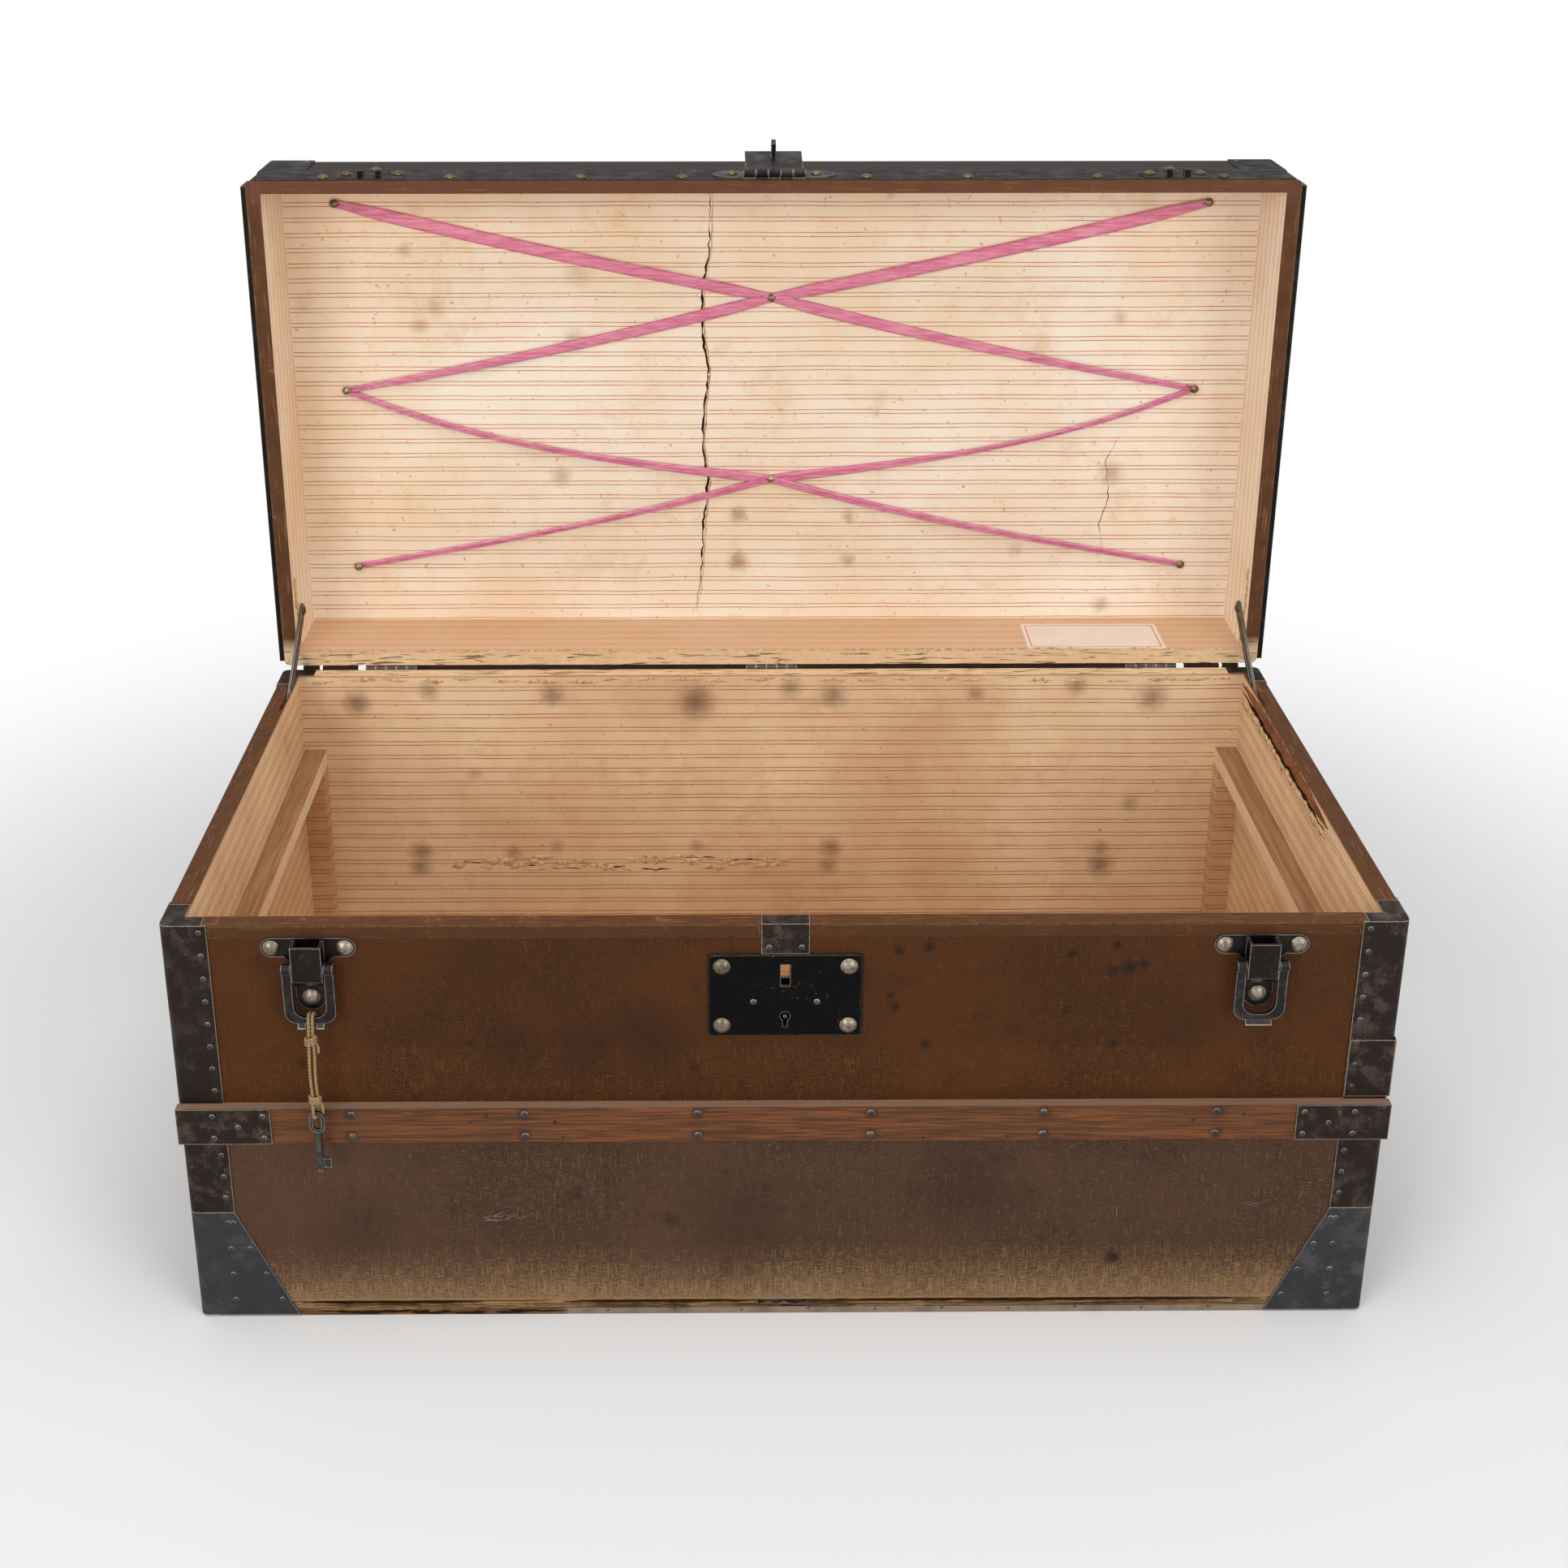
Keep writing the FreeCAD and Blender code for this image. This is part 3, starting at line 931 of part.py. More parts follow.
NODES = {
    "front_board": front_board,
    "back_board": back_board,
    "right_end_board": right_end_board,
    "left_end_board": mirrored(right_end_board),
    "bottom_board": bottom_board,
    "bottom_runners": group(bottom_runners),
    "body_canvas": canvas,
    "body_linings": group([front_lining, back_lining, right_lining, mirrored(right_lining), floor_lining]),
    "rim_binding": rim_binding,
    "corner_bands": group(corner_bands),
    "bottom_caps": group(four_corners(cap)),
    "base_plate": base_plate,
    "front_slat": slat,
    "back_slat": slat.mirror(Vector(0, 0, 0), Y_AXIS),
    "slat_brackets": group(four_corners(bracket)),
    "slat_screws": group(slat_screws),
    "steel_nails": group(steel_nails),
    "body_rivets": group(body_rivets),
    "lock_plate": lock_plate,
    "lock_strap": lock_strap,
    "lock_case": lock_case,
    "lock_bolt": lock_bolt,
    "lock_spring": lock_spring,
    "catch_plates": group([moved(catch_plate(), x) for x in catch_places]),
    "bail_pins": group([moved(bail_pin, x) for x in catch_places]),
    "left_bail": moved(bail().cut(twine_notch), -CATCH_X),
    "right_bail": moved(bail(), CATCH_X),
    "tray_rails": group([rail, mirrored(rail)]),
    "tray_posts": group(four_corners(post)),
    "hinge_body_leaves": group(body_leaves),
    "hinge_lid_leaves": opened(group(lid_leaves)),
    "hinge_pins": group(hinge_pins),
    "stay_guide_pins": group([guide_pin, mirrored(guide_pin)]),
    "stay_pivots": group([stay_pivot, mirrored(stay_pivot)]),
    "right_stay": right_stay,
    "left_stay": mirrored(right_stay),
    "handle_mounts": group(handle_mounts + [mirrored(m) for m in handle_mounts]),
    "right_handle": right_handle,
    "left_handle": mirrored(right_handle),
    "twine": twine,
    "key": key,
    "lid_front_board": opened(lid_front_board),
    "lid_back_board": opened(lid_back_board),
    "lid_right_board": opened(lid_right_board),
    "lid_left_board": opened(mirrored(lid_right_board)),
    "lid_top_board": opened(lid_top_board),
    "lid_canvas": opened(lid_canvas),
    "lid_linings": opened(group(lid_linings)),
    "lid_rim_binding": opened(lid_rim_binding),
    "lid_front_band": opened(lid_front_band),
    "lid_edge_strips": opened(group([edge_strip, mirrored(edge_strip)])),
    "lid_corner_caps": opened(group(four_corners(lid_cap))),
    "lid_rivets": opened(group(lid_rivets)),
    "lid_nails": opened(group(lid_nails)),
    "lid_keepers": opened(group([moved(keeper(), x) for x in catch_places])),
    "hasp_plate": opened(hasp_plate),
    "hasp_pin": opened(hasp_pin),
    "hasp_flap": opened(hasp_flap),
    "ribbons": opened(group(ribbons)),
    "ribbon_nails": opened(group(ribbon_nails)),
}
for name, shape in NODES.items():
    shape.exportStep(f"parts/{name}.step")
print(len(NODES), "nodes")
print("hinge", HINGE_Y, HINGE_Z, "stay pivot", pivot_y, pivot_z, "bail pin", bail_pin_y, bail_pin_z)
print("hasp pin", hasp_pin_y, hasp_pin_z, "handle", handle_x, handle_z)
print("twine bar", bar_z, "rail top", rail_z1)
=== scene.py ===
# %% [markdown]
# # An old travelling trunk
# The trunk is a pine box covered in painted canvas, edged with steel, and lined with ruled paper. The hard parts come
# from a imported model, which is loaded first and never moved. This lesson gives them their finishes, adds the soft
# parts (ribbons, twine, leather handles, torn paper) and then lights and frames the whole.

# %% Load the frame and keep its box
import math
import random
import bpy
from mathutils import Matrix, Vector


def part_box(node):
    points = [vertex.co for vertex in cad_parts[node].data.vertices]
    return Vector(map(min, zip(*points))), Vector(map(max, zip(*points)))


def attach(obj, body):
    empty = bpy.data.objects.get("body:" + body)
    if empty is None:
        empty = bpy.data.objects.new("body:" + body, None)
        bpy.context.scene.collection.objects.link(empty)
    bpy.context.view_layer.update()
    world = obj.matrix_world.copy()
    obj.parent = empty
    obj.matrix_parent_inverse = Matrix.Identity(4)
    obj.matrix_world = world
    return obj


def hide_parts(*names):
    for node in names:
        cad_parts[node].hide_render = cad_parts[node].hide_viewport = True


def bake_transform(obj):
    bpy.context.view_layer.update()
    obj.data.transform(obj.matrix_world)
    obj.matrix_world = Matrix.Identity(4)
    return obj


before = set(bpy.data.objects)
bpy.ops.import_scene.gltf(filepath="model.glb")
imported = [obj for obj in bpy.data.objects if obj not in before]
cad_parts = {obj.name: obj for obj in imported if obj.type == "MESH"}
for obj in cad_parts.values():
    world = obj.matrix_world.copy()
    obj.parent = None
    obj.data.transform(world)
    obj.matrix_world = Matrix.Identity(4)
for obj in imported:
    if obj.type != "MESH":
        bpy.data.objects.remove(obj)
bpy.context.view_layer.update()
random.seed(7)

# %% [markdown]
# ## Helpers for finishes
# Colours are written the way a paint program shows them, as sRGB hex, and one function turns them into the linear
# values that a shader works in. One function adds a shader node, sets it and links it. The rest are steps that most
# finishes share: fibres that run one way, a tone laid where a pattern is strong, and the ending of a material.

# %% Helpers for colour and finishes
MM = 0.001


def linear(hex_code):
    """sRGB hex to linear RGBA."""
    shares = [int(hex_code[i:i + 2], 16) / 255 for i in (1, 3, 5)]
    return tuple(c / 12.92 if c <= 0.04045 else ((c + 0.055) / 1.055) ** 2.4 for c in shares) + (1.0,)


def add(tree, kind, feeds, out=0, **settings):
    """Add a shader node, set it, feed its sockets with values, hex colours or other outputs, and return one output."""
    node = tree.nodes.new("ShaderNode" + kind)
    for name, value in settings.items():
        setattr(node, name, value)
    for name, value in feeds.items():
        if isinstance(value, bpy.types.NodeSocket):
            tree.links.new(value, node.inputs[name])
        else:
            node.inputs[name].default_value = linear(value) if isinstance(value, str) else value
    return node.outputs[out] if len(node.outputs) else node


def blank(name):
    """A material, its empty node tree, and the place of a point on the object."""
    material = bpy.data.materials.new(name)
    material.use_nodes = True
    material.node_tree.nodes.clear()
    return material, material.node_tree, add(material.node_tree, "TexCoord", {}, "Object")


def fibres(tree, place, sizes_mm, detail=2.0, distortion=0.0):
    """Noise stretched into threads or grain, with a size in mm along each axis."""
    stretched = add(tree, "Mapping", {"Vector": place, "Scale": tuple(1 / (size * MM) for size in sizes_mm)})
    return add(tree, "TexNoise", {"Vector": stretched, "Scale": 1.0, "Detail": detail, "Distortion": distortion})


def tint(tree, under, over, pattern, low, high, most=1.0):
    """Lay one tone over another where a pattern goes from low to high, up to a greatest share."""
    share = add(tree, "MapRange", {"Value": pattern, "From Min": low, "From Max": high, "To Max": most})
    return add(tree, "Mix", {0: share, 6: under, 7: over}, 2, data_type="RGBA")


def surface(tree, feeds, height=None, strength=0.5, depth_mm=0.5):
    """End a material: a shader with these feeds, in relief where a height is given, and the output."""
    if height is not None:
        feeds["Normal"] = add(tree, "Bump", {"Height": height, "Strength": strength, "Distance": depth_mm * MM})
    add(tree, "OutputMaterial", {"Surface": add(tree, "BsdfPrincipled", feeds)})


print("lengths are in metres, and", MM, "m is a millimetre")

# %% [markdown]
# ## Helpers for pieces
# New pieces are lists of corners and faces that become a mesh riding on one body of the trunk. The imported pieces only
# get a new finish in their material slots.

# %% Helpers for meshes
RIGHT, BACK, UP = Vector((1, 0, 0)), Vector((0, 1, 0)), Vector((0, 0, 1))


def at(x, y, z):
    """A point given in mm."""
    return Vector((x, y, z)) * MM


def piece(name, verts, faces, body, slot, material, smooth=True):
    """A mesh piece that rides on a body, or on none where a cloth crosses a hinge."""
    mesh = bpy.data.meshes.new(name)
    mesh.from_pydata([tuple(v) for v in verts], [], faces)
    mesh.validate()
    mesh.polygons.foreach_set("use_smooth", [smooth] * len(mesh.polygons))
    mesh.materials.append(material)
    made = bpy.data.objects.new(name, mesh)
    bpy.context.scene.collection.objects.link(made)
    if body:
        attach(made, body)
    print(name, "has", len(mesh.polygons), "faces")
    return made


def thicken(sheet, thickness_mm):
    """Give a sheet its thickness, half to each side."""
    thick = sheet.modifiers.new("thickness", "SOLIDIFY")
    thick.thickness = thickness_mm * MM
    thick.offset = 0.0


def dress(material, *names):
    """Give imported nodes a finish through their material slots."""
    for name in names:
        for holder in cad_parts[name].material_slots:
            holder.material = material
    print(material.name, "on", ", ".join(names))


# %% [markdown]
# ## Camera
# The photograph looks level into the open trunk with the lens shifted down, as a view camera does. A shift that large
# would push the trunk out of other views, so part of it is given as a downward tilt instead.

# %% Camera
LENS_MM, SENSOR_MM = 46.93, 36.0
CAMERA_PLACE = (-0.039, -1.337, 0.992)
CAMERA_TILT, CAMERA_TURN = 20.2, 0.41
SHIFT_X, SHIFT_Y = 0.0297, -0.16
lens = bpy.data.cameras.new("camera")
lens.sensor_width, lens.lens = SENSOR_MM, LENS_MM
lens.shift_x, lens.shift_y = SHIFT_X, SHIFT_Y
lens.clip_start = 0.01
camera = bpy.data.objects.new("camera", lens)
camera.location = CAMERA_PLACE
camera.rotation_euler = (math.radians(90 - CAMERA_TILT), 0, math.radians(-CAMERA_TURN))
bpy.context.scene.collection.objects.link(camera)
bpy.context.scene.camera = camera
bpy.context.scene.view_settings.view_transform = "Standard"
print("camera at", CAMERA_PLACE, "lens", LENS_MM)

# %% [markdown]
# ## Jute twine
# Jute is a dry, hairy bast fibre. Two plies are laid round each other, so the eye sees slanting ridges and stray
# hairs. The colour varies along each ply, and the surface is fully matt.

# %% Material: laid jute
FIBRE_MM, STRAW_MM = 0.6, 9
jute, tree, place = blank("laid_jute_twine")
hairs = add(tree, "TexNoise", {"Vector": place, "Scale": 1 / (FIBRE_MM * MM), "Detail": 3.0})
straw = add(tree, "TexNoise", {"Vector": place, "Scale": 1 / (STRAW_MM * MM)})
straw = add(tree, "Mix", {0: straw, 6: "#a78d60", 7: "#cdb68a"}, 2, data_type="RGBA")
colour = tint(tree, "#7d6440", straw, hairs, 0.35, 0.7)
surface(tree, {"Base Color": colour, "Roughness": 0.92, "Specular IOR Level": 0.2}, hairs, 0.5, 0.2)
print("jute fibres", FIBRE_MM, "mm")

# %% [markdown]
# The twine is one length: it starts behind the bail's bar, comes over it, hangs, passes through the key's bow and goes
# back up. Its line is a smooth NURBS spline, and the two plies are wound round the points read from that spline.

# %% The twine's line
TWINE_D = 2.2 * MM
BAR = at(-305.6, -206.5, 242.6)
HITCH_ROUTE = [(2.8, -2.8), (4.2, 0.0), (3.0, 3.0), (0.0, 4.2), (-3.0, 3.0), (-4.2, 0.0), (-5.4, -5.0), (-6.3, -9.0)]
HANGING_ROUTE = [
    (-1.7, -7.3, -22.0), (-2.3, -7.5, -38.0), (-1.5, -7.8, -54.0), (-1.5, -10.9, -62.0), (-0.9, -11.3, -67.9),
    (0.0, -7.5, -68.9), (0.9, -3.7, -67.9), (1.5, -4.1, -62.0), (1.5, -7.3, -54.0), (1.0, -7.4, -38.0),
    (1.9, -7.2, -22.0)]
STRAND_X = 1.3
TWINE_ROUTE = [(-STRAND_X, *p) for p in HITCH_ROUTE] + HANGING_ROUTE + [(STRAND_X, *p) for p in reversed(HITCH_ROUTE)]


def spline_points(route, finer=12):
    """Points read from a NURBS spline of order 3 through which a cord's mesh is swept."""
    curve = bpy.data.curves.new("route", "CURVE")
    curve.dimensions = "3D"
    curve.resolution_u = finer
    spline = curve.splines.new("NURBS")
    spline.points.add(len(route) - 1)
    for point, spot in zip(spline.points, route):
        point.co = (*spot, 1.0)
    spline.use_endpoint_u = True
    spline.order_u = 3
    holder = bpy.data.objects.new("route", curve)
    mesh = bpy.data.meshes.new_from_object(holder)
    points = [v.co.copy() for v in mesh.vertices]
    bpy.data.objects.remove(holder)
    bpy.data.curves.remove(curve)
    bpy.data.meshes.remove(mesh)
    return points


twine_line = spline_points([BAR + at(*p) for p in TWINE_ROUTE])
print("twine's line read at", len(twine_line), "points")

# %% [markdown]
# A ply is a closed tube. Its rings need a side and an up direction at each point, carried along the line so that they
# don't twist. The plies then turn round the line once in every lay length.

# %% Plies laid round a line
LAY_LENGTH = 5.2 * MM
PLY_OFF, PLY_RADIUS = 0.23, 0.29


def carried_frames(points):
    """Side and up directions carried along a line without twisting."""
    frames = []
    side = None
    for i in range(len(points)):
        ahead = (points[min(i + 1, len(points) - 1)] - points[max(i - 1, 0)]).normalized()
        side = ahead.orthogonal() if side is None else side - ahead * side.dot(ahead)
        side.normalize()
        frames.append((side.copy(), ahead.cross(side)))
    return frames


def tube(points, radii, verts, faces, sides=8):
    """Add a closed tube along points to lists of corners and faces."""
    base = len(verts)
    for point, radius, (side, up) in zip(points, radii, carried_frames(points)):
        for k in range(sides):
            turn = 2 * math.pi * k / sides
            verts.append(point + radius * (math.cos(turn) * side + math.sin(turn) * up))
    for ring in range(len(points) - 1):
        for k in range(sides):
            a, b = base + ring * sides + k, base + ring * sides + (k + 1) % sides
            faces.append((a, b, b + sides, a + sides))
    faces.append(tuple(base + k for k in reversed(range(sides))))
    faces.append(tuple(base + (len(points) - 1) * sides + k for k in range(sides)))


def laid_plies(points, diameter, verts, faces):
    """Two plies wound round a line, thick together as the twine is. Returns the line's length."""
    run = 0.0
    turns = []
    for i, point in enumerate(points):
        run += (point - points[i - 1]).length if i else 0.0
        turns.append(2 * math.pi * run / LAY_LENGTH)
    frames = carried_frames(points)
    for start in (0.0, math.pi):
        ply = [p + diameter * PLY_OFF * (math.cos(t + start) * s + math.sin(t + start) * u)
               for p, t, (s, u) in zip(points, turns, frames)]
        tube(ply, [diameter * PLY_RADIUS] * len(ply), verts, faces)
    return run


verts, faces = [], []
twine_length = laid_plies(twine_line, TWINE_D, verts, faces)
twine = piece("jute_twine", verts, faces, "key_string", "jute_twine", jute)
print("twine length", round(twine_length, 4))

# %% [markdown]
# Two knots hold the strands: a hitch just below the bar and a knot above the key. Each is a few tight turns round both
# strands, with a frayed end. They are separate pieces on the cord.

# %% Twine knots
HITCH_DROP, KNOT_DROP = 11.5, 55.5
KNOT_TURNS, TURN_STEPS = 3, 9
KNOT_HALF_W, KNOT_HALF_D, KNOT_TALL, KNOT_RISE = 3.6, 2.7, 5.4, 2.6
verts, faces = [], []
for drop, out, lean in ((HITCH_DROP, 6.6, 0.7), (KNOT_DROP, 7.7, -0.6)):
    wraps = []
    for step in range(TURN_STEPS * KNOT_TURNS + 1):
        turn = 2 * math.pi * step / TURN_STEPS
        down = drop - KNOT_RISE + KNOT_TALL * step / (TURN_STEPS * KNOT_TURNS)
        wraps.append(BAR + at(KNOT_HALF_W * math.cos(turn), -out - KNOT_HALF_D * math.sin(turn),
                              -down + lean * math.cos(turn)))
    laid_plies(spline_points(wraps, 4), TWINE_D * 0.9, verts, faces)
    tail = [wraps[-1], wraps[-1] + at(1.4, -0.8, -2.4), wraps[-1] + at(1.0, -1.2, -6.4)]
    laid_plies(spline_points(tail, 6), TWINE_D * 0.8, verts, faces)
twine_knots = piece("jute_knots", verts, faces, "key_string", "jute_twine", jute)
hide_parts("twine")

# %% [markdown]
# ## Silk ribbon
# The lid's ribbons are narrow woven silk, nailed in two zigzags to hold papers against the lid. Filament silk is
# glossy across its warp, so it gets sheen, and fine lengthwise ribs.

# %% Material: woven silk ribbon
RIB_MM, RIB_RUN_MM, FADE_MM = 1.6, 50 / 3, 45  # real ribs are finer; drawn this coarse so that they show
silk, tree, place = blank("woven_silk_ribbon")
ribs = fibres(tree, place, (RIB_RUN_MM, RIB_RUN_MM, RIB_MM))
fade = add(tree, "TexNoise", {"Vector": place, "Scale": 1 / (FADE_MM * MM), "Detail": 3.0})
pink = add(tree, "Mix", {0: fade, 6: "#e27c9b", 7: "#f4a9bb"}, 2, data_type="RGBA")
colour = tint(tree, "#d46d8e", pink, ribs, 0.35, 0.65)
surface(tree, {"Base Color": colour, "Roughness": 0.48, "Sheen Weight": 0.35, "Sheen Roughness": 0.4}, ribs, 0.35, 0.2)
print("silk ribs", RIB_MM, "mm")

# %% [markdown]
# A ribbon is a strip that stays about 11 mm wide, so where it looks narrower it has turned on edge or gathered into
# pleats. Each strip is built from crossways rows of five points. A row can gather, turn about the ribbon's own line,
# and stand off the paper by as much as the turn needs.

# %% Ribbons
RIBBON_W, RIBBON_LENGTH, RIBBON_T_MM = 11 * MM, 1.424, 0.35
RIBBON_STEPS, ROW = 34, 5
TURN_REACH, NAIL_PINCH, PINCH_REACH = 0.42, 0.38, 0.16
# For each run: sag in mm, greatest turn in degrees, where along the run it is greatest, and the share of its width
# that shows at its start, middle and end
RUN_HABITS = ((2.0, 10, 0.75, (1.0, 0.97, 0.88)), (3.0, 14, 0.80, (0.95, 0.72, 0.42)),
              (15.0, 20, 0.30, (0.45, 0.42, 0.80)), (5.0, 18, 0.45, (0.60, 0.44, 0.46)))
ribbon_low, ribbon_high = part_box("ribbons")
nail_x = ribbon_high[0] - RIBBON_W / 2
nail_rise = (ribbon_high[2] - ribbon_low[2] - RIBBON_W) / 4


def ribbon(name, side, layer):
    """One zigzag: side nail, middle, other side, middle, side."""
    reach = [-side, 0, side, 0, -side]
    nails = [Vector((nail_x * r, layer, ribbon_high[2] - RIBBON_W / 2 - i * nail_rise)) for i, r in enumerate(reach)]
    verts = []
    for run, (sag, most_turn, peak, (first, middle, last)) in enumerate(RUN_HABITS):
        start, end = nails[run], nails[run + 1]
        ahead = (end - start).normalized()
        up = (UP - ahead * ahead.z).normalized()
        for step in range(RIBBON_STEPS + (run == 3)):
            t = step / RIBBON_STEPS
            near = min(t, 1 - t) * 2
            hang = 4 * t * (1 - t) * (1 + 0.5 * (peak - t))
            centre = start.lerp(end, t) - UP * sag * MM * hang
            spread = max(0.0, 1 - abs(t - peak) / TURN_REACH)
            turn = math.radians(most_turn) * math.sin(spread * math.pi / 2) ** 2 * min(1.0, near * 3)
            share = first + (middle - first) * 2 * t if t < 0.5 else middle + (last - middle) * (2 * t - 1)
            gather = min(share, 1 - NAIL_PINCH * math.exp(-(near / PINCH_REACH) ** 2))
            pleat = RIBBON_W / 4 * math.sqrt(1 - gather * gather)
            off = abs(math.sin(turn)) * RIBBON_W / 2
            for k in range(ROW):
                across = (k - 2) / 4 * RIBBON_W * gather
                out = off + pleat * (k % 2) + across * math.sin(turn) * side
                verts.append(centre + up * across * math.cos(turn) - BACK * out)
    faces = [(r * ROW + k, r * ROW + k + 1, r * ROW + k + ROW + 1, r * ROW + k + ROW)
             for r in range(len(verts) // ROW - 1) for k in range(ROW - 1)]
    strip = piece(name, verts, faces, "lid", "pink_ribbon", silk)
    thicken(strip, RIBBON_T_MM)
    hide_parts("ribbons")


ribbon("ribbon_under", 1, ribbon_high[1] - 0.4 * MM)
ribbon("ribbon_over", -1, ribbon_low[1] + 0.3 * MM)
print("ribbons", RIBBON_LENGTH, "m each")

# %% [markdown]
# ## Rubbed corners and stains
# Paint and metal rub bright at corners first. The bevel shader node finds them: its rounded normal differs from the
# flat one only next to a corner. A stain is a round spot whose edge is made ragged by noise that shakes the place.

# %% Where corners are rubbed and where stains lie
SPOT_SPREAD, SPOT_DEPTH, SHAKE_GRAIN_MM = 1.9, 0.85, 5


def worn_edges(tree, radius_mm, least=0.985, most=0.80):
    """0 on flat faces to 1 on corners."""
    rounded = add(tree, "Bevel", {"Radius": radius_mm * MM}, samples=6)
    flat = add(tree, "NewGeometry", {}, "True Normal")
    match = add(tree, "VectorMath", {0: rounded, 1: flat}, "Value", operation="DOT_PRODUCT")
    return add(tree, "MapRange", {"Value": match, "From Min": least, "From Max": most})


def on_wall(y, marks):
    """Stains (x, z, radius, strength) in mm, set on a wall at y."""
    return [(x, y, z, radius, strength) for x, z, radius, strength in marks]


def stained(tree, place, spots, shake_mm):
    """Cover from 0 to 1 of ragged stains, each (x, y, z, radius, strength) in mm."""
    ragged_way = add(tree, "TexNoise", {"Vector": place, "Scale": 1 / (SHAKE_GRAIN_MM * MM), "Detail": 4.0}, 1)
    shake = add(tree, "VectorMath", {0: ragged_way, "Scale": shake_mm * MM}, operation="SCALE")
    shaken = add(tree, "VectorMath", {0: place, 1: shake}, operation="ADD")
    total = None
    for sx, sy, sz, radius, strength in spots:
        centre = tuple((v + shake_mm / 2) * MM for v in (sx, sy, sz))
        far = add(tree, "VectorMath", {0: shaken, 1: centre}, "Value", operation="DISTANCE")
        spot = add(tree, "MapRange", {"Value": far, "From Min": radius * SPOT_SPREAD * MM, "From Max": 0.0,
                                      "To Max": strength * SPOT_DEPTH}, interpolation_type="SMOOTHSTEP")
        total = spot if total is None else add(tree, "Math", {0: total, 1: spot}, operation="MAXIMUM")
    return total


print("a stain spreads to", SPOT_SPREAD, "times its radius")

# %% [markdown]
# ## Painted canvas
# The outside is linen canvas glued to the pine and painted brown. The weave shows through the paint. Paint has rubbed
# off the raised threads, most along folds and near the floor, so the eye sees pale broken lines that run with the
# threads. Noise stretched along one axis makes such lines on every face that holds that axis.

# %% Stains on the canvas
FRONT_FACE_Y = -199.0
canvas_spots = on_wall(FRONT_FACE_Y, (
    (73, 288, 3.0, 1.1), (92, 290, 3.0, 1.1), (184, 285, 2.4, 1.0), (213, 291, 2.6, 1.1), (222, 274, 4.6, 1.1),
    (212, 272, 3.6, 1.0), (231, 277, 2.8, 1.0), (183, 243, 2.6, 0.9), (215, 217, 3.2, 1.0), (92, 217, 3.2, 1.0),
    (71, 246, 3.2, 1.1), (69, 254, 2.4, 0.9), (225, 46, 4.6, 1.1), (-316, 205, 3.2, 0.7), (-139, 99, 3.4, 0.6),
    (-76, 79, 4.5, 0.7), (-59, 200, 2.8, 0.7)))
canvas_grime = on_wall(FRONT_FACE_Y, (
    (-86, 221, 24, 0.62), (-128, 213, 20, 0.55), (-178, 211, 18, 0.45), (52, 262, 15, 0.35), (-196, 280, 18, 0.35),
    (-30, 78, 34, 0.45), (125, 105, 30, 0.4), (-290, 66, 24, 0.35), (262, 228, 20, 0.3), (-312, 252, 16, 0.4)))
print(len(canvas_spots), "spots and", len(canvas_grime), "patches of grime on the front")

# %% Material: painted linen canvas
THREAD_MM = 1.5  # real threads are about 0.8 mm apart; drawn this coarse so that they show
WAVE_SCALE = 0.314 / (THREAD_MM * MM)
RUB_W_MM, RUB_RUNS_MM = 0.5, (7, 7, 15)
BROAD_MM, SMUDGE_MM, FOLD_MM = 120, 24, 3.5
canvas, tree, place = blank("painted_linen_canvas")
z = add(tree, "SeparateXYZ", {"Vector": place}, 2)
weave, streaks = None, None
for axis, run in enumerate(RUB_RUNS_MM):
    threads = add(tree, "TexWave", {"Vector": place, "Scale": WAVE_SCALE, "Distortion": 1.5, "Detail": 1.0,
                                    "Detail Scale": 0.3}, 1, bands_direction="XYZ"[axis])
    weave = threads if weave is None else add(tree, "Math", {0: weave, 1: threads}, operation="ADD")
    lines = fibres(tree, place, [run if way == axis else RUB_W_MM for way in range(3)], 3.0)
    streaks = lines if streaks is None else add(tree, "Math", {0: streaks, 1: lines}, operation="MAXIMUM")
broad = add(tree, "TexNoise", {"Vector": place, "Scale": 1 / (BROAD_MM * MM), "Detail": 6.0, "Roughness": 0.65})
smudge = add(tree, "TexNoise", {"Vector": place, "Scale": 1 / (SMUDGE_MM * MM), "Detail": 7.0, "Roughness": 0.7})
# Paint: browner above the slat, greyer below, darker in clouds
below_slat = add(tree, "MapRange", {"Value": z, "From Min": 0.175, "From Max": 0.14})
paint = add(tree, "Mix", {0: below_slat, 6: "#4f2b10", 7: "#533a2b"}, 2, data_type="RGBA")
deep = add(tree, "Mix", {0: below_slat, 6: "#38200f", 7: "#3c2a20"}, 2, data_type="RGBA")
paint = tint(tree, paint, deep, broad, 0.40, 0.62, 0.75)
paint = tint(tree, paint, "#22140f", smudge, 0.56, 0.76, 0.55)
# Rubbing: near the floor, on the shelf that the slat makes, at the fold under the rim and at corners
rub = add(tree, "MapRange", {"Value": z, "From Min": 0.062, "From Max": 0.012, "To Max": 0.18})
for height, reach, most in ((0.185, 0.03, 0.03), (0.3048, 0.0012, 0.13)):
    level = add(tree, "Math", {0: z, 1: height, 2: reach}, operation="COMPARE")
    rub = add(tree, "Math", {0: level, 1: most, 2: rub}, operation="MULTIPLY_ADD")
for share, most in ((worn_edges(tree, FOLD_MM, 0.99, 0.75), 0.22), (broad, 0.16), (streaks, 1.0)):
    rub = add(tree, "Math", {0: share, 1: most, 2: rub}, operation="MULTIPLY_ADD")
worn = add(tree, "MapRange", {"Value": rub, "From Min": 0.70, "From Max": 0.87, "To Max": 0.62})
thread = add(tree, "Mix", {0: below_slat, 6: "#95602c", 7: "#bd976a"}, 2, data_type="RGBA")
